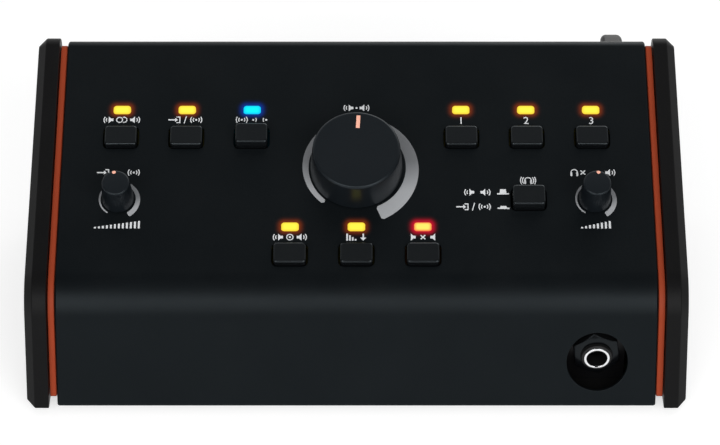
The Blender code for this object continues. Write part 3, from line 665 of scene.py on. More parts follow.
def window_glow():
    """Painted light: the glow that one lit window would spill on the coat round it, painted into the coat's
    emission, strongest at its edge.
    """
    tree, given, end = new_group(
        "window_glow", "ShaderNodeTree",
        {"Middle": (0.0, 0.0, 0.0), "Colour": (1.0, 0.5, 0.0, 1.0), "Reach": 0.001},
        ["Colour"], "NodeSocketColor")
    square = add(tree, "ShaderNodeVectorRotate", {
        "Vector": vector_math(tree, "SUBTRACT", object_place(tree), given["Middle"]),
        "Center": (0.0, 0.0, 0.0), "Angle": -panel_tilt}, rotation_type="X_AXIS")
    away = vector_math(tree, "ABSOLUTE", square.outputs[0])
    half = (window_width / 2 - window_corner, window_height / 2 - window_corner, 0.0)
    corner = vector_math(tree, "MAXIMUM", vector_math(tree, "SUBTRACT", away, half))
    length = add(tree, "ShaderNodeVectorMath", {0: corner}, operation="LENGTH").outputs["Value"]
    apart = math_node(tree, "MAXIMUM", math_node(tree, "SUBTRACT", length, window_corner), 0.0)
    share = math_node(tree, "POWER", math_node(tree, "DIVIDE", apart, given["Reach"]), 2.0)
    fade = math_node(tree, "EXPONENT", times(tree, share, -1.0))
    spill = add(tree, "ShaderNodeVectorMath", {0: given["Colour"], "Scale": fade}, operation="SCALE")
    feed(tree, end, {"Colour": spill.outputs[0]})
    return tree


groups = {"grain": satin_grain(), "dust": settled_dust(), "lines": turned_lines(), "glow": window_glow()}


# Materials

def linear(red, green, blue):
    """A display colour, 0 to 255, as the shader takes it."""
    shares = [c / 255 for c in (red, green, blue)]
    return tuple(c / 12.92 if c <= 0.04045 else ((c + 0.055) / 1.055) ** 2.4 for c in shares) + (1.0,)


dust_colour = linear(150, 148, 145)
cloud_lift = 1.18


def new_material(name):
    """An empty node material: its tree and its Principled shader."""
    made = bpy.data.materials.new(name)
    made.use_nodes = True
    return made, made.node_tree, made.node_tree.nodes["Principled BSDF"]


def grained(name, colour, roughness, grain_scale, depth, spread=0.1, specular=0.5, dust=0.03, metallic=0.0,
            tint=(1.0, 1.0, 1.0, 1.0)):
    """A coated or moulded finish with fine grain, soft clouding and a breath of dust."""
    made, tree, shader = new_material(name)
    grain = add(tree, "ShaderNodeGroup", {
        "Grain Scale": grain_scale, "Roughness": roughness, "Spread": spread}, node_tree=groups["grain"])
    film = add(tree, "ShaderNodeGroup", {"Amount": dust}, node_tree=groups["dust"])
    lighter = tuple(c * cloud_lift for c in colour[:3]) + (1.0,)
    clouded = mixed(tree, grain.outputs["Cloud"], colour, lighter)
    feed(tree, shader, {
        "Base Color": mixed(tree, film.outputs["Mask"], clouded, dust_colour),
        "Roughness": grain.outputs["Roughness"],
        "Normal": bumped(tree, grain.outputs["Height"], 0.5, depth),
        "Specular IOR Level": specular, "Specular Tint": tint, "Metallic": metallic})
    return made


def spilt_light(material):
    """Paints the glow of all the lit windows into a coat's emission, as painted light."""
    tree = material.node_tree
    total = (0.0, 0.0, 0.0)
    for node in window_nodes():
        at = centre_on(panel, node)
        colour, reach = painted_glows.get(node, yellow_painted_glow)
        glow = add(tree, "ShaderNodeGroup", {
            "Middle": panel @ Vector((at.x, at.y, 0.0)), "Colour": colour, "Reach": reach},
            node_tree=groups["glow"])
        total = vector_math(tree, "ADD", total, glow.outputs[0])
    feed(tree, tree.nodes["Principled BSDF"], {"Emission Color": total, "Emission Strength": 1.0})


def fading_print(name, low_colour, painted_shade_colour):
    """Printed ink with painted shade: the ink turns darker up the panel round each dial, beside and behind
    its knob.
    """
    made = grained(name, low_colour, 0.50, 4200.0, 0.000006, 0.08, 0.3)
    tree = made.node_tree
    shader = tree.nodes["Principled BSDF"]
    place = add(tree, "ShaderNodeUVMap", uv_map="arc").outputs["UV"]
    up = add(tree, "ShaderNodeSeparateXYZ", {0: place}).outputs["Y"]
    share = add(tree, "ShaderNodeMapRange", {
        "Value": up, "From Min": arc_painted_shade_low, "From Max": arc_painted_shade_high}, clamp=True)
    ink = shader.inputs["Base Color"].links[0].from_socket
    feed(tree, shader, {"Base Color": mixed(tree, share.outputs["Result"], ink, painted_shade_colour)})
    return made


def soft_edges(material, width):
    """Rounds a material's sharp edges to the eye, so that they catch the light."""
    tree = material.node_tree
    bump = next(n for n in tree.nodes if n.bl_idname == "ShaderNodeBump")
    rounded = add(tree, "ShaderNodeBevel", {"Radius": width}, samples=6)
    feed(tree, bump, {"Normal": rounded.outputs[0]})


def metal(name, colour, roughness, stretch, depth=0.00001):
    """Bare or plated metal with fine tool lines."""
    made, tree, shader = new_material(name)
    lines = add(tree, "ShaderNodeGroup", {"Stretch": stretch, "Roughness": roughness},
                node_tree=groups["lines"])
    feed(tree, shader, {
        "Base Color": colour, "Metallic": 1.0, "Roughness": lines.outputs["Roughness"],
        "Normal": bumped(tree, lines.outputs["Height"], 0.3, depth)})
    return made


def laminate(name, mask, copper):
    """Solder-masked board with faint tracks under the mask."""
    made, tree, shader = new_material(name)
    tracks = add(tree, "ShaderNodeTexBrick", {
        "Vector": object_place(tree), "Scale": 180.0, "Mortar Size": 0.06,
        "Color1": mask, "Color2": mask, "Mortar": copper}, offset=0.37)
    feed(tree, shader, {
        "Base Color": tracks.outputs["Color"], "Roughness": 0.35,
        "Normal": bumped(tree, tracks.outputs["Fac"], 0.2, 0.00003)})
    return made


def ribbed_cable(name, colour, groove_shade):
    """Flat cable: parallel wires side by side, with painted shade in a darker grey along the grooves between
    them.
    """
    made, tree, shader = new_material(name)
    wires = add(tree, "ShaderNodeTexWave", {"Vector": object_place(tree), "Scale": 250.0},
                bands_direction="X").outputs["Fac"]
    feed(tree, shader, {
        "Base Color": mixed(tree, wires, groove_shade, colour), "Roughness": 0.55,
        "Normal": bumped(tree, wires, 0.8, 0.0002)})
    return made


def lit_window(name, core, edge):
    """A clear window lit from behind: brightest in the middle, deeper in colour at its rim."""
    made, tree, shader = new_material(name)
    place = add(tree, "ShaderNodeUVMap", uv_map="window").outputs["UV"]
    apart = add(tree, "ShaderNodeSeparateXYZ", {0: place}).outputs
    wide = math_node(tree, "POWER", math_node(tree, "ABSOLUTE", apart["X"]), 6.0)
    tall = math_node(tree, "POWER", math_node(tree, "ABSOLUTE", apart["Y"]), 4.0)
    rim = math_node(tree, "POWER", math_node(tree, "ADD", wide, tall), 0.5)
    share = add(tree, "ShaderNodeMapRange", {"Value": rim, "From Min": 0.25, "From Max": 1.0}, clamp=True)
    feed(tree, shader, {
        "Emission Color": mixed(tree, share.outputs["Result"], core, edge), "Emission Strength": 1.0,
        "Base Color": linear(20, 20, 20), "Roughness": 0.3, "Specular IOR Level": 0.1})
    return made


# The painted glow that each window puts on the coat, and its reach
yellow_painted_glow = ((0.16, 0.022, 0.0, 1.0), 0.00108)
painted_glows = {
    "upper_window_3": ((0.0, 0.025, 0.24, 1.0), 0.00112),
    "lower_window_3": ((0.50, 0.0, 0.018, 1.0), 0.00108)}

cool = (0.80, 0.93, 1.0, 1.0)
black_coat = grained("black_powder_coat", linear(6, 10, 13), 0.37, 2600.0, 0.00003, 0.10, 0.17, tint=cool)
dark_primer = grained("dark_primer", linear(8, 8, 9), 0.70, 1800.0, 0.00003, 0.10, 0.10)
black_cheek = grained("black_cheek_plastic", linear(11, 11, 12), 0.42, 2200.0, 0.00003, 0.10, 0.12)
black_cap = grained("black_cap_plastic", linear(17, 19, 21), 0.18, 3200.0, 0.000006, 0.06, 0.42, tint=cool)
black_knob = grained("black_knob_plastic", linear(18, 22, 26), 0.32, 3000.0, 0.00001, 0.10, 0.26, tint=cool)
black_socket = grained("black_socket_plastic", linear(14, 14, 15), 0.38, 2500.0, 0.00001, 0.08, 0.3)
gloss_black = grained("gloss_black_plastic", linear(12, 12, 13), 0.34, 900.0, 0.000004, 0.05, 0.4)
black_nut = grained("black_plated_nut", linear(8, 9, 11), 0.22, 1200.0, 0.000006, 0.06, 0.20, tint=cool)
soft_edges(black_nut, nut_edge)
orange_coat = grained("orange_lacquer", linear(162, 66, 38), 0.45, 2600.0, 0.00002, 0.10, 0.10)
orange_inlay = grained("orange_inlay", linear(255, 186, 162), 0.45, 3000.0, 0.00001, 0.08, 0.3)
rubber = grained("black_rubber", linear(22, 22, 22), 0.80, 1500.0, 0.00006, 0.10, 0.3)
pale_print = grained("pale_screen_print", linear(218, 220, 222), 0.50, 4200.0, 0.000006, 0.08, 0.3)
# Grey ink of the dial arcs, with painted shade that darkens it up the panel beside and behind each knob
grey_print_and_shade = fading_print("grey_screen_print_and_painted_shade", linear(160, 162, 165), linear(120, 122, 125))
steel = metal("turned_steel", linear(196, 196, 200), 0.30, (1.0, 1.0, 6.0))
zinc = metal("zinc_plate", linear(170, 172, 176), 0.42, (4.0, 1.0, 1.0))
brass = metal("brass_contact", linear(190, 140, 80), 0.30, (1.0, 1.0, 6.0))
chrome = metal("bright_chrome", linear(235, 236, 238), 0.12, (1.0, 3.0, 1.0), 0.000003)
black_metal = grained("black_zinc_screws", linear(24, 24, 26), 0.34, 3600.0, 0.00001, 0.10, 0.5, 0.02, 0.6)
board_green = laminate("green_laminate", linear(3, 9, 7), linear(8, 22, 14))
# Grey flat cable; its darker second grey is painted shade in the grooves between the wires
cable_grey = ribbed_cable("grey_flat_cable", linear(150, 150, 154), linear(96, 96, 100))
yellow_light = lit_window("yellow_light", linear(255, 250, 76), linear(255, 214, 60))
blue_light = lit_window("blue_light", linear(0, 250, 255), linear(0, 196, 255))
red_light = lit_window("red_light", linear(255, 240, 108), linear(255, 120, 70))
# Painted light on the black coat: a glow round each lit window, in its emission.
spilt_light(black_coat)


# Housing

def panel_openings():
    """Cutters for the openings of the buttons, windows and shafts."""
    depth = 2 * sheet_thickness
    pane = rounded_rectangle(window_width + 2 * window_gap, window_height + 2 * window_gap,
                             window_corner + window_gap)
    bore = circle(shaft_bore, small_segments)
    plain = [(node, pane) for node in window_nodes()]
    plain += [(f"{name}_knob", bore) for name in dial_names]
    cutters = [square_cutter(*box_in(node, panel), opening_gap, opening_corner)
               for node in nodes_named("button_")]
    for node, outline in plain:
        at = centre_on(panel, node)
        cutters.append(moved(prism(outline, -depth, depth), at.x, at.y))
    return set_by(gathered(cutters), panel)


def front_hole():
    """The cutter for the round hole that the headphone socket sits behind, square to the front."""
    place = front_foot.x + (jack_middle.z - front_foot.y) * math.tan(front_lean)
    return set_by(round_cutter(front_hole_diameter, round_segments),
                  Matrix.Translation((jack_middle.x, place, jack_middle.z))
                  @ Matrix.Rotation(math.pi / 2 - front_lean, 4, "X"))


def rear_holes():
    """Cutters for the round and square holes in the rear wall."""
    height = centre_on(rear, "rear_jack_1").y
    noses = [(node, nose_diameter) for node in nodes_named("rear_jack_")]
    noses += [("aux_jack", aux_nose_diameter), ("dc_inlet", dc_collar_diameter)]
    cutters = [moved(round_cutter(diameter + 2 * seat_gap, small_segments), centre_on(rear, node).x, height)
               for node, diameter in noses]
    cutters.append(square_cutter(*box_in("power_button", rear), seat_gap, power_corner + seat_gap))
    return set_by(gathered(cutters), rear)


def housing():
    """The bent sheet with rounded side folds and round rims on its openings."""
    folds = [(side_profile(drawn_in, front_foot.y, toe_round), half_housing - below)
             for drawn_in, below in quarter_round(side_round)]
    outer = across(loft([(outline, -x) for outline, x in reversed(folds)] + folds))
    cavity = across(prism(side_profile(sheet_thickness, front_foot.y - sheet_thickness, toe_round),
                          -half_inside, half_inside))
    mesh = combined(outer, [("DIFFERENCE", cavity), ("DIFFERENCE", panel_openings()),
                            ("DIFFERENCE", gathered([front_hole(), rear_holes()]))])
    piece("housing", mesh, black_coat, ["housing_shell"])


# Sides and feet

def edge_path(corners):
    """Points of a path in (drawn in, along X) with its inner corners rounded, from (place, radius) pairs."""
    points = [corners[0][0]]
    for (before, _), (corner, radius), (after, _) in zip(corners, corners[1:], corners[2:]):
        points += fillet(before, corner, after, radius, edge_steps)
    return points + [corners[-1][0]]


def cheek_screw_places():
    """Where each cheek's screws sit, in Y and Z."""
    low = front_foot.y + cheek_screw_edge
    high = panel_point.y + (rear_face - panel_point.x) * math.tan(panel_tilt)
    return [Vector((front_foot.x + low * math.tan(front_lean) + cheek_screw_edge, low)),
            Vector((rear_face - cheek_screw_edge, low)),
            Vector((rear_face - cheek_screw_edge, high - 2 * cheek_screw_edge))]


def cheek_mesh():
    """The right end plate: a soft-edged chamfer all along its outer edge, and three screw wells."""
    low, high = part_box("right_cheek")
    path = edge_path([
        (Vector((cheek_lead_in, low.x)), 0.0),
        (Vector((0.0, low.x)), cheek_inner_round),
        (Vector((0.0, high.x - cheek_chamfer_width)), cheek_edge_round),
        (Vector((cheek_chamfer_depth, high.x)), cheek_edge_round),
        (Vector((cheek_lead_out, high.x)), 0.0)])
    fall = cheek_bottom_chamfer / cheek_chamfer_depth
    mesh = loft([(side_profile(p.x - cheek_overhang, low.z + p.x * fall, cheek_toe_radius), p.y)
                 for p in path])
    well = [(0.0, -cheek_screw_depth)] + round_edge(cheek_screw_hole / 2, 0.0, rim_round, side=1)
    well += [(cheek_screw_hole / 2 + rim_round, sheet_thickness), (0.0, sheet_thickness)]
    wells = [moved(turned(well, small_segments), p.x, p.y, high.x) for p in cheek_screw_places()]
    return across(combined(mesh, [("DIFFERENCE", gathered(wells))]))


def both_sides(name, right, material, node):
    """A right-hand piece and its mirror image."""
    left = mirrored(right.copy())
    piece(f"{name}_right", right, material, [f"right_{node}"])
    piece(f"{name}_left", left, material, [f"left_{node}"])


def cheeks():
    """The two end plates."""
    both_sides("end_cheek", cheek_mesh(), black_cheek, "cheek")


def trim_plates():
    """The two lacquered plates between the housing and the cheeks."""
    low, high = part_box("right_trim_plate")
    levels = [(trim_round, low.x), (0.0, low.x + trim_round), (0.0, high.x - trim_round),
              (trim_round, high.x)]
    right = across(loft([(side_profile(trim_inset + inset, low.z + inset, cheek_toe_radius), x)
                         for inset, x in levels]))
    both_sides("orange_trim", right, orange_coat, "trim_plate")


def rubber_feet():
    """Four moulded feet, each with a well for its screw."""
    for node in nodes_named("foot_"):
        low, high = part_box(node)
        at = middle(low, high)
        wide = (high.x - low.x) / 2
        ground = wide - foot_ground_inset
        profile = [(0.0, foot_well_depth), (foot_well / 2, foot_well_depth), (foot_well / 2, rim_round),
                   (foot_well / 2 + rim_round, 0.0), (ground, 0.0)]
        profile += [(wide - drawn, below) for drawn, below in reversed(quarter_round(foot_round))]
        profile += [(wide, high.z - rim_round), (wide - rim_round, high.z), (0.0, high.z)]
        piece(f"rubber_{node}", moved(turned(profile, small_segments), at.x, at.y),
              rubber, [node])


# Buttons and windows

def stemmed_cap(size, corner, stem, heights, curve):
    """A push button: a square stem, and a block on it with a rounded end.

    The heights are those of the stem's foot, the block's shoulder and its top.
    """
    foot, shoulder, top = heights
    square = rounded_rectangle(stem, stem, stem * stem_corner_share)
    return loft([(square, foot), (square, shoulder), (rounded_rectangle(size.x, size.y, corner), shoulder)]
                + soft_levels(size, corner, top, curve))


def button_caps():
    """Ten push-button caps with soft edges, each on its own body."""
    for node in nodes_named("button_"):
        low, high = box_in(node, panel)
        at = middle(low, high)
        cap = stemmed_cap(high - low, cap_corner, stem_width, (low.z, high.z - cap_length, high.z),
                          quarter_round(cap_edge, corner_steps))
        body = node.removeprefix("button_") + "_button"
        piece(body.replace("button", "cap"), moved(cap, at.x, at.y), black_cap, [node],
              panel, body=body)


def lit_windows():
    """Nine window heads flush in the panel, with a narrower guide behind each."""
    lights = {"upper_window_3": ("lamp_blue", blue_light), "lower_window_3": ("lamp_red", red_light)}
    size = Vector((window_width, window_height))
    inner = rounded_rectangle(window_width - window_round * 4, window_height - window_round * 4,
                              window_corner - window_round * 2)
    for node in window_nodes():
        low, high = box_in(node, panel)
        at = middle(low, high)
        curve = [(0.0, high.z + sheet_thickness)] + quarter_round(window_round)
        mesh = loft([(inner, low.z), (inner, -sheet_thickness)]
                    + soft_levels(size, window_corner, high.z, curve, 1.0))
        flat_map(mesh, "window", window_width / 2, window_height / 2)
        slot, material = lights.get(node, ("lamp_yellow", yellow_light))
        piece(f"lit_{node}", moved(mesh, at.x, at.y), material, [node], panel)


# Dials

def knob(diameter, top_diameter, top, foot, edge, segments):
    """A tapered knob with a rounded rim, a soft foot and a blind bore for its shaft."""
    profile = [(0.0, top - knob_roof), (shaft_bore / 2, top - knob_roof), (shaft_bore / 2, foot),
               (diameter / 2 - knob_foot_round, foot), (diameter / 2, foot + knob_foot_round)]
    profile += round_edge(top_diameter / 2, top, edge, corner_steps)
    return turned(profile + [(0.0, top)], segments)


def main_dial():
    """The large knob with the slot for its pointer."""
    low, high = box_in("main_knob", panel)
    at = middle(low, high)
    mesh = moved(knob(high.x - low.x, main_top_diameter, high.z, low.z, main_edge, round_segments),
                 at.x, at.y)
    line_low, line_high = box_in("main_pointer", panel)
    line = middle(line_low, line_high) - at
    turn = math.atan2(line.x, line.y)
    slot = rounded_rectangle(pointer_width + 2 * pointer_gap, pointer_length + 2 * pointer_gap, pointer_gap)
    cutter = moved(prism(slot, line_low.z - pointer_gap, high.z + pointer_width), 0.0, line.xy.length)
    cutter.transform(Matrix.Translation((at.x, at.y, 0.0)) @ Matrix.Rotation(-turn, 4, "Z"))
    mesh = combined(mesh, [("DIFFERENCE", cutter)])
    piece("main_dial_knob", mesh, black_knob, ["main_knob"], panel,
          body="main_dial")


def small_dials():
    """The two slim knobs, each with an inlaid dot near its rim."""
    for name in ("volume", "phones"):
        low, high = box_in(f"{name}_knob", panel)
        at = middle(low, high)
        mesh = knob(high.x - low.x, small_top_diameter, high.z, low.z, small_edge, round_segments)
        piece(f"{name}_dial_knob", moved(mesh, at.x, at.y), black_knob,
              [f"{name}_knob"], panel, body=f"{name}_dial")
        reach = small_top_diameter / 2 - dot_rim - dot_diameter / 2
        turn = dot_turns[name]
        pin = moved(prism(circle(dot_diameter, small_segments), high.z - knob_roof / 2, high.z + knob_roof),
                    -math.sin(turn) * reach, math.cos(turn) * reach)
        proud = knob(high.x - low.x, small_top_diameter + 2 * dot_stand, high.z + dot_stand, low.z,
                     small_edge, round_segments)
        dot = moved(combined(pin, [("INTERSECT", proud)]), at.x, at.y)
        piece(f"{name}_dial_dot", dot, orange_inlay, (), panel, body=f"{name}_dial")


# Sockets

def bored_block(low, high, centre, nose, bore, bore_low):
    """A socket's block from low to high, with a round nose standing out of it and a soft-mouthed bore."""
    nose_radius, nose_top = nose
    at = middle(low, high)
    outline = rounded_rectangle(high.x - low.x, high.y - low.y, block_corner)
    block = moved(prism(outline, low.z, high.z), at.x, at.y)
    sleeve = [(0.0, at.z), (nose_radius, at.z)] + round_edge(nose_radius, nose_top, mouth_round)
    well = [(0.0, bore_low), (bore, bore_low)]
    well += round_edge(bore, nose_top + cutter_lift, mouth_round, side=1)
    well += [(bore + mouth_round, nose_top + sheet_thickness), (0.0, nose_top + sheet_thickness)]
    return combined(block, [
        ("UNION", moved(turned(sleeve + [(0.0, nose_top)], small_segments), centre.x, centre.y)),
        ("DIFFERENCE", moved(turned(well, small_segments), centre.x, centre.y))])


def rear_sockets():
    """The eight large sockets, the small one and the low-voltage inlet in the rear wall."""
    face = -sheet_thickness - seat_gap
    axis = centre_on(rear, "rear_jack_1").y
    sockets = [(f"line_socket_{i + 1}", node, nose_diameter, plug_bore)
               for i, node in enumerate(nodes_named("rear_jack_"))]
    sockets += [("small_socket", "aux_jack", aux_nose_diameter, aux_bore),
                ("power_inlet", "dc_inlet", dc_collar_diameter, dc_bore)]
    for name, node, nose, bore in sockets:
        low, high = box_in(node, rear)
        centre = Vector((middle(low, high).x, axis))
        mesh = bored_block(low, Vector((high.x, high.y, face)), centre, (nose / 2, high.z), bore / 2,
                           low.z + socket_floor)
        piece(name, mesh, black_socket, [node], rear)
    tip = high.z - dc_pin_recess
    pin = [(0.0, low.z + socket_floor / 2), (dc_pin / 2, low.z + socket_floor / 2)]
    pin += round_edge(dc_pin / 2, tip, dc_pin / 3) + [(0.0, tip)]
    contact = moved(turned(pin, small_segments), centre.x, centre.y)
    piece("power_inlet_pin", contact, steel, (), rear)


def headphone_socket():
    """The recessed front socket: block with a threaded nose, nut, bright ferrule and contact spring."""
    nut_low, nut_high = box_in("phones_jack_nut", socket)
    ring_low, ring_high = box_in("phones_jack_ferrule", socket)
    low, high = box_in("phones_jack", socket)
    bore = plug_bore / 2
    ferrule_radius = (ring_high.x - ring_low.x) / 2
    mesh = bored_block(low, Vector((high.x, high.y, nut_low.z - block_setback)), Vector((0.0, 0.0)),
                       (nose_diameter / 2, high.z), bore, low.z + socket_floor)
    seat = prism(circle(2 * ferrule_radius + seat_gap, small_segments), ring_low.z - seat_gap, 0.0)
    piece("headphone_socket", combined(mesh, [("DIFFERENCE", seat)]), black_socket,
          ["phones_jack"], socket)
    piece("headphone_nut", hexagon_nut(nut_low.z, nut_high.z, nut_flats, nose_diameter + seat_gap),
          black_nut, ["phones_jack_nut"], socket)
    section = [(bore, ring_low.z), (ferrule_radius, ring_low.z)]
    section += round_edge(ferrule_radius, ring_high.z, ferrule_round)
    section += reversed(round_edge(bore, ring_high.z, ferrule_round, side=1))
    notch = prism(rounded_rectangle(ferrule_notch, 2 * ferrule_notch_depth, ferrule_notch_depth / 2),
                  ring_high.z - ferrule_notch, ring_high.z + ferrule_notch)
    mesh = combined(ring(section, round_segments), [("DIFFERENCE", moved(notch, 0.0, -bore))])
    piece("headphone_ferrule", mesh, chrome, ["phones_jack_ferrule"], socket)
    leaf = [Vector((bore - seat_gap, ring_low.z - ferrule_radius * 3)),
            Vector((bore - contact_bow, ring_low.z - ferrule_radius)),
            Vector((bore - seat_gap, ring_low.z))]
    outline = leaf + [p + Vector((-contact_thickness, 0.0)) for p in reversed(leaf)]
    spring = prism(outline, -contact_width / 2, contact_width / 2)
    spring.transform(Matrix(((-1, 0, 0, 0), (0, 0, 1, 0), (0, 1, 0, 0), (0, 0, 0, 1))))
    piece("headphone_contact_spring", spring, brass, (), socket)


def hexagon_nut(low, high, flats, bore):
    """A hexagon nut with its front corners turned off."""
    corner = flats / math.sqrt(3)
    hexagon = prism([Vector((math.sin(a), math.cos(a))) * corner
                     for a in (nut_turn + math.pi / 3 * i for i in range(6))], low, high)
    cone = turned([(0.0, low - nut_margin), (corner + nut_margin, low - nut_margin),
                   (corner + nut_margin, high - nut_chamfer_rise), (corner - nut_chamfer_reach, high),
                   (0.0, high)], round_segments)
    hole = prism(circle(bore, small_segments), low - nut_margin, high + nut_margin)
    return combined(hexagon, [("INTERSECT", cone), ("DIFFERENCE", hole)])


def power_button():
    """The glossy rear push button with its deeply rounded end."""
    low, high = box_in("power_button", rear)
    at, size = middle(low, high), high - low
    mesh = stemmed_cap(size, power_corner, size.x - 2 * power_corner,
                       (low.z, power_overtravel - sheet_thickness, high.z),
                       quarter_round(power_end_inset, corner_steps, power_end_depth))
    piece("power_push_button", moved(mesh, at.x, at.y), gloss_black, ["power_button"], rear,
          body="mains_button")


# Geometry Nodes for what repeats

def shape_group(name, inputs):
    """A group that takes points and a material: its tree, its inputs and its output node."""
    sockets = {"Geometry": "NodeSocketGeometry", **inputs, "Material": "NodeSocketMaterial"}
    return new_group(name, "GeometryNodeTree", sockets, ["Geometry"], "NodeSocketGeometry")


def make_real(tree, given, instances, end):
    """Makes instances real, gives them the material and passes them out."""
    real = add(tree, "GeometryNodeRealizeInstances", {0: instances})
    dressed = add(tree, "GeometryNodeSetMaterial", {
        "Geometry": real.outputs[0], "Material": given["Material"]})
    feed(tree, end, {"Geometry": dressed.outputs[0]})


def at_points(tree, given, shape, end):
    """Sets a shape on every given point, turned to the point's own direction."""
    way = add(tree, "GeometryNodeInputNamedAttribute", {"Name": "way"}, data_type="FLOAT_VECTOR")
    facing = add(tree, "FunctionNodeAlignRotationToVector", {"Vector": way.outputs[0]}, axis="Z")
    chance = add(tree, "FunctionNodeRandomValue", {2: 0.0, 3: 2 * math.pi, "Seed": given["Seed"]},
                 data_type="FLOAT")
    twist = add(tree, "FunctionNodeAxisAngleToRotation", {
        "Axis": (0.0, 0.0, 1.0), "Angle": chance.outputs[1]})
    turn = add(tree, "FunctionNodeRotateRotation", {
        "Rotation": facing.outputs[0], "Rotate By": twist.outputs[0]}, rotation_space="LOCAL")
    placed = add(tree, "GeometryNodeInstanceOnPoints", {
        "Points": given["Geometry"], "Instance": shape, "Rotation": turn.outputs[0]})
    make_real(tree, given, placed.outputs[0], end)


def combine(tree, **parts):
    """A vector from its named parts."""
    return add(tree, "ShaderNodeCombineXYZ", parts).outputs[0]


def lifted(tree, shape, height):
    """A shape moved along Z."""
    return add(tree, "GeometryNodeTransform", {
        "Geometry": shape, "Translation": combine(tree, Z=height)}).outputs[0]


def cylinder(tree, vertices, radius, depth, height):
    """A cylinder about Z with its middle at a height."""
    drum = add(tree, "GeometryNodeMeshCylinder", {"Vertices": vertices, "Radius": radius, "Depth": depth})
    return lifted(tree, drum.outputs[0], height)


def boolean(tree, operation, first, second):
    """The mesh that a Boolean makes of two shapes."""
    made = add(tree, "GeometryNodeMeshBoolean", operation=operation)
    tree.links.new(first, made.inputs["Mesh 1" if operation == "DIFFERENCE" else "Mesh 2"])
    tree.links.new(second, made.inputs["Mesh 2"])
    return made.outputs[0]


def button_head_screws():
    """A domed screw head with a hexagon socket, set on points."""
    tree, given, end = shape_group("button_head_screws", {
        "Head Diameter": screw_head, "Head Height": screw_height, "Socket Width": screw_socket,
        "Dome Radius": screw_dome, "Seed": 3})
    height = given["Head Height"]
    drum = cylinder(tree, 48, times(tree, given["Head Diameter"], 0.5), height, times(tree, height, 0.5))
    ball = add(tree, "GeometryNodeMeshUVSphere", {
        "Segments": 48, "Rings": 40, "Radius": given["Dome Radius"]})
    dome = lifted(tree, ball.outputs[0], math_node(tree, "SUBTRACT", height, given["Dome Radius"]))
    key = cylinder(tree, 6, times(tree, given["Socket Width"], 1 / math.sqrt(3)), height,
                   times(tree, height, 0.9))
    head = boolean(tree, "INTERSECT", drum, dome)
    at_points(tree, given, boolean(tree, "DIFFERENCE", head, key), end)
    return tree


def washered_nuts():
    """A chamfered hexagon nut on a round washer, set on points."""
    tree, given, end = shape_group("washered_nuts", {
        "Flats": rear_nut_flats, "Thickness": rear_nut_thickness, "Bore": nose_diameter,
        "Washer Diameter": washer_diameter, "Washer Thickness": washer_thickness, "Seed": 5})
    thickness, base = given["Thickness"], given["Washer Thickness"]
    corner = times(tree, given["Flats"], 1 / math.sqrt(3))
    hexagon = cylinder(tree, 6, corner, thickness, math_node(tree, "MULTIPLY_ADD", thickness, 0.5, base))
    cone = add(tree, "GeometryNodeMeshCone", {
        "Vertices": 64, "Radius Top": times(tree, given["Flats"], 0.5),
        "Radius Bottom": math_node(tree, "MULTIPLY_ADD", thickness, 0.9, corner),
        "Depth": math_node(tree, "MULTIPLY_ADD", thickness, 1.02, base)})
    washer = cylinder(tree, 64, times(tree, given["Washer Diameter"], 0.5), base, times(tree, base, 0.49))
    bore = cylinder(tree, 64, times(tree, given["Bore"], 0.5), times(tree, thickness, 6.0), 0.0)
    nut = boolean(tree, "INTERSECT", hexagon, cone.outputs[0])
    both = boolean(tree, "UNION", nut, washer)
    at_points(tree, given, boolean(tree, "DIFFERENCE", both, bore), end)
    return tree


def screw_threads():
    """A helical ridge round each nose, set on points at the thread's low end."""
    tree, given, end = shape_group("screw_threads", {
        "Diameter": nose_diameter, "Length": 0.003, "Pitch": thread_pitch, "Depth": thread_depth,
        "Seed": 7})
    sunk = times(tree, given["Depth"], -0.5)
    radius = math_node(tree, "MULTIPLY_ADD", given["Diameter"], 0.5, sunk)
    helix = add(tree, "GeometryNodeCurveSpiral", {
        "Resolution": 32, "Rotations": math_node(tree, "DIVIDE", given["Length"], given["Pitch"]),
        "Start Radius": radius, "End Radius": radius, "Height": given["Length"]})
    section = add(tree, "GeometryNodeCurvePrimitiveCircle", {"Resolution": 4, "Radius": given["Depth"]})
    ridge = add(tree, "GeometryNodeCurveToMesh", {
        "Curve": helix.outputs[0], "Profile Curve": section.outputs[0], "Fill Caps": True})
    at_points(tree, given, ridge.outputs[0], end)
    return tree


def level_bars():
    """A row of print bars that grow from one end to the other, centred on each point."""
    tree, given, end = shape_group("level_bars", {
        "Count": 7, "Pitch": bar_pitch, "Bar Width": bar_width, "First Height": first_bar_height,
        "Last Height": mark_height, "Thickness": print_stand + print_sink})
    last = math_node(tree, "SUBTRACT", given["Count"], 1.0)
    row = add(tree, "GeometryNodeMeshLine", {
        "Count": given["Count"],
        "Start Location": combine(tree, X=times(tree, times(tree, last, given["Pitch"]), -0.5)),
        "Offset": combine(tree, X=given["Pitch"])}, mode="OFFSET")
    share = math_node(tree, "DIVIDE", add(tree, "GeometryNodeInputIndex").outputs[0], last)
    rise = math_node(tree, "SUBTRACT", given["Last Height"], given["First Height"])
    height = math_node(tree, "MULTIPLY_ADD", share, rise, given["First Height"])
    bar = add(tree, "GeometryNodeMeshCube", {"Size": (1.0, 1.0, 1.0)})
    standing = add(tree, "GeometryNodeTransform", {
        "Geometry": bar.outputs[0], "Translation": (0.0, 0.5, 0.0)})
    bars = add(tree, "GeometryNodeInstanceOnPoints", {
        "Points": row.outputs[0], "Instance": standing.outputs[0],
        "Scale": combine(tree, X=given["Bar Width"], Y=height, Z=given["Thickness"])})
    centred = add(tree, "GeometryNodeTransform", {
        "Geometry": bars.outputs[0],
        "Translation": combine(tree, Y=times(tree, given["Last Height"], -0.5))})
    placed = add(tree, "GeometryNodeInstanceOnPoints", {
        "Points": given["Geometry"], "Instance": centred.outputs[0]})
    make_real(tree, given, placed.outputs[0], end)
    return tree


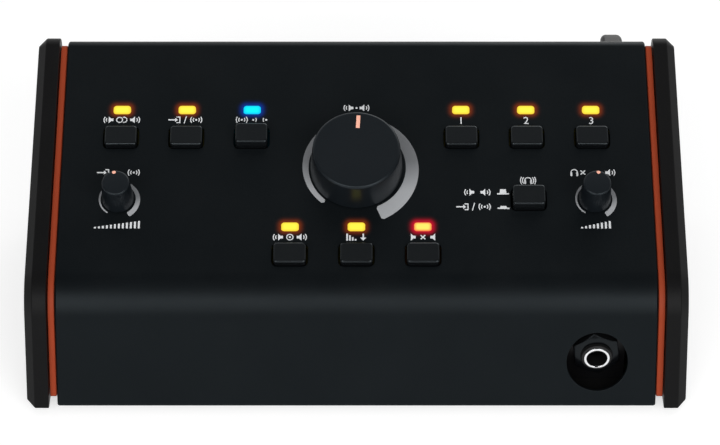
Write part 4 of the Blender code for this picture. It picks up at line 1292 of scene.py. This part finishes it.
def grown(tree, places, settings):
    """The plain mesh that a tree makes on points, from (place, direction) pairs and named settings."""
    mesh = bpy.data.meshes.new("points")
    mesh.from_pydata([place for place, way in places], [], [])
    ways = mesh.attributes.new("way", "FLOAT_VECTOR", "POINT")
    for i, (place, way) in enumerate(places):
        ways.data[i].vector = way
    holder = linked("points", mesh)
    modifier = holder.modifiers.new("Nodes", "NODES")
    modifier.node_group = tree
    identifiers = {item.name: item.identifier for item in tree.interface.items_tree
                   if item.item_type == "SOCKET" and item.in_out == "INPUT"}
    for name, value in settings.items():
        modifier[identifiers[name]] = value
    made = evaluated_mesh(holder)
    discard(holder)
    return made


def set_out(name, tree, places, material, settings=None):
    """A piece that a tree makes on points, with the tree's own values where no others are given."""
    piece(name, grown(tree, places, {**(settings or {}), "Material": material}), material)


def cheek_screws():
    """Three domed socket screws in the wells of each cheek."""
    well_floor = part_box("right_cheek")[1].x - cheek_screw_depth
    places = [((side * well_floor, p.x, p.y), (side, 0.0, 0.0))
              for side in (-1.0, 1.0) for p in cheek_screw_places()]
    set_out("cheek_screws", button_head_screws(), places, black_metal)


def base_screws():
    """Flat screws under the base plate, and one in the well of each foot."""
    base_low, base_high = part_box("base_plate")
    x = base_high.x - base_screw_inset
    ends = (base_low.y + base_screw_inset, base_high.y - base_screw_inset)
    down = (0.0, 0.0, -1.0)
    tree = bpy.data.node_groups["button_head_screws"]
    places = [((side * x, y, base_low.z), down) for side in (-1.0, 1.0) for y in ends]
    set_out("base_screws", tree, places, black_metal, {
        "Head Diameter": base_screw_head, "Head Height": base_screw_height,
        "Dome Radius": base_screw_head, "Seed": 11})
    feet = [middle(*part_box(node)) for node in nodes_named("foot_")]
    places = [((p.x, p.y, foot_well_depth), down) for p in feet]
    set_out("foot_screws", tree, places, black_metal, {
        "Head Diameter": foot_screw_head, "Head Height": foot_screw_height,
        "Socket Width": foot_screw_socket, "Dome Radius": foot_well, "Seed": 13})


def rear_nuts():
    """A washer, a nut and a threaded nose at each large rear socket, and the front nose's thread."""
    centres = [centre_on(rear, node) for node in nodes_named("rear_jack_")]
    places = [(rear @ Vector((at.x, centres[0].y, 0.0)), (0.0, 1.0, 0.0)) for at in centres]
    set_out("rear_nuts", washered_nuts(), places, gloss_black)
    front_low = box_in("phones_jack_nut", socket)[0].z
    front_place = [(socket @ Vector((0.0, 0.0, front_low)), (0.0, -1.0, 0.0))]
    threads = screw_threads()
    for name, spots, reach, seed in (
            ("rear_threads", places, box_in("rear_jack_1", rear)[1].z, 7),
            ("front_thread", front_place, box_in("phones_jack", socket)[1].z - front_low, 9)):
        set_out(name, threads, spots, black_socket,
                {"Length": reach - thread_pitch, "Seed": seed})


# Printed marks, drawn at a height of one about their middle

def polygon(*points):
    """An outline from its corners."""
    return [Vector(p) for p in points]


def band(inner, outer, start, end, x=0.0, y=0.0, steps=32):
    """Part of a ring, its angles in degrees from the right, anticlockwise."""
    angles = [math.radians(start + (end - start) * i / steps) for i in range(steps + 1)]
    rim = [Vector((x + outer * math.cos(a), y + outer * math.sin(a))) for a in angles]
    return rim + [Vector((x + inner * math.cos(a), y + inner * math.sin(a))) for a in reversed(angles)]


def disc(radius, x=0.0, y=0.0):
    """A round dot."""
    return [p + Vector((x, y)) for p in circle(2 * radius, disc_segments)]


def full_ring(inner, outer, x=0.0, y=0.0):
    """A whole ring in two halves."""
    return [band(inner, outer, 0, 180, x, y), band(inner, outer, 180, 360, x, y)]


def shifted(outlines, x, flip=1.0):
    """Outlines moved across, and mirrored when flip is negative."""
    return [[Vector((flip * p.x + x, p.y)) for p in outline] for outline in outlines]


def speaker_mark():
    """A loudspeaker that faces right."""
    return [polygon((-0.42, -0.18), (-0.14, -0.18), (0.16, -0.48), (0.16, 0.48), (-0.14, 0.18),
                    (-0.42, 0.18))]


def sound_mark():
    """A loudspeaker with two waves."""
    waves = [band(0.30, 0.42, -40, 40, -0.25), band(0.58, 0.70, -40, 40, -0.25)]
    return shifted(speaker_mark(), -0.35) + waves


def cross_mark():
    """A slanting cross."""
    arm, half = 0.40, 0.07
    corners = []
    for i in range(4):
        turn = Matrix.Rotation(math.pi / 4 + math.pi / 2 * i, 2)
        corners += [turn @ Vector(p) for p in ((half, half), (half, arm), (-half, arm))]
    return [corners]


def stereo_mark():
    """Two linked rings."""
    return full_ring(0.30, 0.42, -0.27) + [band(0.30, 0.42, -112, 112, 0.27)]


def mono_mark():
    """One ring round a dot."""
    return full_ring(0.32, 0.44) + [disc(0.13)]


def input_mark():
    """An arrow that runs into a bracket."""
    arrow = polygon((-0.98, -0.08), (-0.14, -0.08), (-0.14, -0.30), (0.20, 0.0), (-0.14, 0.30), (-0.14, 0.08),
                    (-0.98, 0.08))
    bracket = polygon((0.02, -0.46), (0.50, -0.46), (0.50, 0.46), (0.02, 0.46), (0.02, 0.33), (0.37, 0.33),
                      (0.37, -0.33), (0.02, -0.33))
    return [arrow, bracket]


def wireless_mark():
    """A dot with two waves to each side."""
    waves = [band(0.32, 0.44, -42, 42), band(0.62, 0.74, -38, 38)]
    return [disc(0.13)] + waves + shifted(waves, 0.0, -1.0)


def link_mark():
    """Two dots, each with a wave turned to the other."""
    waves = [band(0.32, 0.44, -42, 42, -0.80)]
    return [disc(0.13, -0.80)] + waves + shifted([disc(0.13, -0.80)] + waves, 0.0, -1.0)


def headphone_mark():
    """A headband with two cups."""
    cup = polygon((-0.47, -0.48), (-0.25, -0.48), (-0.25, 0.02), (-0.47, 0.02))
    return [band(0.33, 0.45, 0, 180, 0.0, 0.02), cup] + shifted([cup], 0.0, -1.0)


def dimmed_mark():
    """Steps that go down, and an arrow that points down."""
    steps = [polygon((x, -0.48), (x + 0.20, -0.48), (x + 0.20, top), (x, top))
             for x, top in ((-1.22, 0.48), (-0.88, 0.24), (-0.54, 0.0), (-0.20, -0.24))]
    arrow = polygon((0.82, -0.48), (1.20, -0.06), (0.91, -0.06), (0.91, 0.48), (0.73, 0.48), (0.73, -0.06),
                    (0.44, -0.06))
    return steps + [arrow]


def slash_mark():
    """A slanting stroke."""
    return [polygon((-0.20, -0.52), (-0.08, -0.52), (0.20, 0.52), (0.08, 0.52))]


def button_out_mark(rise):
    """A button seen from the side: a base line and a cap that stands up by rise."""
    return [polygon((-0.72, -0.30), (0.72, -0.30), (0.72, -0.12), (0.42, -0.12), (0.34, rise), (-0.34, rise),
                    (-0.42, -0.12), (-0.72, -0.12))]


def row_of(*marks):
    """Marks side by side, from pairs of outlines and place."""
    return [outline for outlines, x in marks for outline in shifted(outlines, x)]


def between(outer, reach, inner):
    """A mark with another on its right, and that one mirrored on its left."""
    return shifted(outer, -reach, -1.0) + inner + shifted(outer, reach)


def lay_print(name, mesh, material=pale_print):
    """Puts a thin printed mesh on the panel."""
    piece(name, mesh, material, (), panel, flat=True)


def printed(name, outlines, across_place, up_place):
    """Outlines printed on the panel as one thin piece."""
    solids = [prism([p * mark_height for p in outline], -print_sink, print_stand) for outline in outlines]
    lay_print(name, moved(gathered(solids), across_place, up_place))


def printed_number(name, number, across_place, up_place):
    """A plain number, made from the built-in letter shapes."""
    text = bpy.data.curves.new(name, "FONT")
    text.body = str(number)
    text.align_x = "CENTER"
    text.align_y = "CENTER"
    text.size = number_size
    text.extrude = (print_stand + print_sink) / 2
    holder = linked(name, text)
    mesh = evaluated_mesh(holder)
    bpy.data.objects.remove(holder)
    bpy.data.curves.remove(text)
    lay_print(name, moved(mesh, across_place, up_place, (print_stand - print_sink) / 2))


def dial_arc(name, at, inner, widths, turns, corner):
    """A printed arc that widens clockwise between two turns in degrees, with round corners."""
    narrow, wide = widths
    start, end = turns
    rim, root = [], []
    for i in range(arc_steps + 1):
        share = i / arc_steps
        angle = math.radians(start + (end - start) * share)
        width = narrow + (wide - narrow) * share ** arc_growth
        run = min(share, 1 - share) * math.radians(end - start) * inner
        soft = min(corner, width / 2)
        cut = soft - math.sqrt(max(0.0, soft ** 2 - max(0.0, soft - run) ** 2))
        ray = Vector((math.sin(angle), math.cos(angle)))
        rim.append(ray * (inner + width - cut))
        root.append(ray * (inner + cut))
    mesh = prism(rim + root[::-1], -print_sink, print_stand)
    # The arc's map carries the painted shade of its ink up the panel.
    flat_map(mesh, "arc", inner, inner)
    lay_print(name, moved(mesh, at.x, at.y), grey_print_and_shade)


def panel_print():
    """All the marks on the panel."""
    upper = [centre_on(panel, f"upper_window_{i + 1}") for i in range(6)]
    lower = [centre_on(panel, f"lower_window_{i + 1}") for i in range(3)]
    main, volume, phones = (centre_on(panel, f"{name}_knob") for name in dial_names)
    listen = centre_on(panel, "button_listen")
    sources = row_of((input_mark(), -1.30), (slash_mark(), -0.20), (wireless_mark(), 1.15))
    speakers = between(sound_mark(), 1.15, [])
    label_up = upper[0].y - window_label_drop
    printed("stereo_print", between(sound_mark(), 1.80, stereo_mark()), upper[0].x, label_up)
    printed("aux_print", sources, upper[1].x, label_up)
    printed("pair_print", row_of((wireless_mark(), -1.25), (link_mark(), 0.95)), upper[2].x, label_up)
    for i, at in enumerate(upper[3:]):
        printed_number(f"number_print_{i + 1}", i + 1, at.x, at.y - number_drop)
    label_up = lower[0].y - window_label_drop
    printed("mono_print", between(sound_mark(), 1.60, mono_mark()), lower[0].x, label_up)
    printed("dim_print", dimmed_mark(), lower[1].x, label_up)
    printed("mute_print", between(speaker_mark(), 1.30, cross_mark()), lower[2].x, label_up)
    printed("main_print", speakers + [disc(0.13)], main.x, main.y + main_label_rise)
    printed("volume_source_print", row_of((input_mark(), -1.75), (wireless_mark(), 1.75)),
            volume.x, volume.y + dial_label_rise)
    muted = row_of((headphone_mark(), -2.35), (cross_mark(), -1.30), (sound_mark(), 2.20))
    printed("phones_source_print", muted, phones.x, phones.y + dial_label_rise)
    waves = [band(0.62, 0.74, -40, 40), band(0.86, 0.98, -34, 34)]
    printed("listen_print", headphone_mark() + waves + shifted(waves, 0.0, -1.0), listen.x,
            listen.y + listen_label_rise)
    out_row, in_row = listen.y + listen_row_offset, listen.y - listen_row_offset
    printed("listen_out_print", speakers, listen.x - listen_out_reach, out_row)
    printed("listen_in_print", sources, listen.x - listen_in_reach, in_row)
    printed("out_print", button_out_mark(0.42), listen.x - state_reach, out_row)
    printed("in_print", button_out_mark(0.10), listen.x - state_reach, in_row)
    bars = level_bars()
    for name, at in (("volume", volume), ("phones", phones)):
        place = (at.x, at.y - dial_label_drop, (print_stand - print_sink) / 2)
        mesh = grown(bars, [(place, (0.0, 0.0, 1.0))], {"Count": bar_counts[name], "Material": pale_print})
        lay_print(f"{name}_level_print", mesh)
    dial_arc("main_arc_print", main.xy + main_arc_shift, main_arc_inner, main_arc_widths, main_arc_turns,
             main_arc_corner)
    for name, at in (("volume", volume), ("phones", phones)):
        dial_arc(f"{name}_arc_print", at.xy + small_arc_shift, small_arc_inner, small_arc_widths,
                 small_arc_turns, small_arc_corner)


# CAD nodes that keep their shape

def dress_cad_nodes():
    """Gives the carried-over nodes their finished materials."""
    finishes = {
        "base_plate": dark_primer, "control_board": board_green, "main_board": board_green,
        "ribbon_cable": cable_grey, "phones_bracket": black_metal, "power_switch": black_socket,
        "main_pointer": orange_inlay}
    for name in dial_names:
        finishes[f"{name}_shaft"] = steel
        finishes[f"{name}_pot"] = zinc
    for node, material in finishes.items():
        frame["nodes"][node].material_slots[0].material = material


# Camera, floor and lights

focal_pixels = 2807.0
image_width = 720.0
sensor_width = 36.0
camera_side = 0.00112
camera_back = 0.6650
camera_up = 0.5579
camera_elevation = math.radians(38.54)
floor_size = 8.0
floor_glow = 0.64
room_level = 0.06
fill_level = 0.36
sweep_start = 0.05
sweep_end = 0.65
softbox_distance = 1.6
light_aim = Vector((0.0, 0.0, 0.03))


def camera():
    """The photograph's view, placed from the line where the panel's plane meets the front's."""
    lens = bpy.data.cameras.new("photo_camera")
    lens.sensor_width = sensor_width
    lens.lens = focal_pixels / image_width * sensor_width
    made = linked("photo_camera", lens)
    made.location = (camera_side, bend.x - camera_back, bend.y + camera_up)
    made.rotation_euler = (math.pi / 2 - camera_elevation, 0.0, 0.0)
    bpy.context.scene.camera = made


def softbox(name, size, watts, direction):
    """A soft light that looks at the part, from (azimuth, elevation) in degrees."""
    azimuth, elevation = (math.radians(a) for a in direction)
    light = bpy.data.lights.new(name, "AREA")
    light.shape = "RECTANGLE"
    light.size, light.size_y = size
    light.energy = watts
    made = linked(name, light)
    out = Vector((math.sin(azimuth) * math.cos(elevation), -math.cos(azimuth) * math.cos(elevation),
                  math.sin(elevation)))
    made.location = light_aim + out * softbox_distance
    made.rotation_euler = out.to_track_quat("Z", "Y").to_euler()


def seen_by_eye(tree):
    """One for rays that show the background: from the camera, from gloss and through glass."""
    path = add(tree, "ShaderNodeLightPath")
    gloss = math_node(tree, "MAXIMUM", path.outputs["Is Camera Ray"], path.outputs["Is Glossy Ray"])
    return math_node(tree, "MAXIMUM", gloss, path.outputs["Is Transmission Ray"])


def backdrop():
    """A white sweep behind the part that falls off to a dim room on the camera's side."""
    world = bpy.data.worlds.new("studio")
    bpy.context.scene.world = world
    world.use_nodes = True
    tree = world.node_tree
    tree.nodes.clear()
    way = add(tree, "ShaderNodeTexCoord").outputs["Generated"]
    back = add(tree, "ShaderNodeSeparateXYZ", {0: way}).outputs["Y"]
    sweep = add(tree, "ShaderNodeMapRange", {
        "Value": back, "From Min": sweep_start, "From Max": sweep_end, "To Min": room_level, "To Max": 1.0},
        clamp=True)
    path = add(tree, "ShaderNodeLightPath")
    seen = add(tree, "ShaderNodeMix", {0: path.outputs["Is Camera Ray"], 2: sweep.outputs["Result"], 3: 1.0})
    level = add(tree, "ShaderNodeMix", {0: seen_by_eye(tree), 2: fill_level, 3: seen.outputs[0]})
    sky = add(tree, "ShaderNodeBackground", {"Color": linear(255, 255, 255), "Strength": level.outputs[0]})
    feed(tree, tree.nodes.new("ShaderNodeOutputWorld"), {0: sky.outputs[0]})


def floor():
    """A plain white floor under the part that keeps its soft shadow."""
    half = floor_size / 2
    mesh = bpy.data.meshes.new("floor")
    mesh.from_pydata([(-half, -half, 0.0), (half, -half, 0.0), (half, half, 0.0), (-half, half, 0.0)], [],
                     [(0, 1, 2, 3)])
    made, tree, shader = new_material("white_floor")
    feed(tree, shader, {
        "Base Color": linear(198, 198, 198), "Roughness": 0.9, "Specular IOR Level": 0.0,
        "Emission Color": (1.0, 1.0, 1.0, 1.0),
        "Emission Strength": times(tree, seen_by_eye(tree), floor_glow)})
    mesh.materials.append(made)
    ground = linked("floor", mesh)


def studio():
    """Plain soft light: two large softboxes in front and a weak one behind the part."""
    backdrop()
    floor()
    softbox("left_softbox", (1.0, 0.85), 9.4, (-25.0, 30.0))
    softbox("right_softbox", (1.0, 0.85), 10.2, (27.0, 30.0))
    softbox("rear_softbox", (1.2, 0.8), 5.0, (155.0, 34.0))
    bpy.context.scene.view_settings.view_transform = "Standard"


# Assembly

dress_cad_nodes()
housing()
cheeks()
trim_plates()
rubber_feet()
button_caps()
lit_windows()
main_dial()
small_dials()
rear_sockets()
headphone_socket()
power_button()
cheek_screws()
base_screws()
rear_nuts()
panel_print()
camera()
studio()
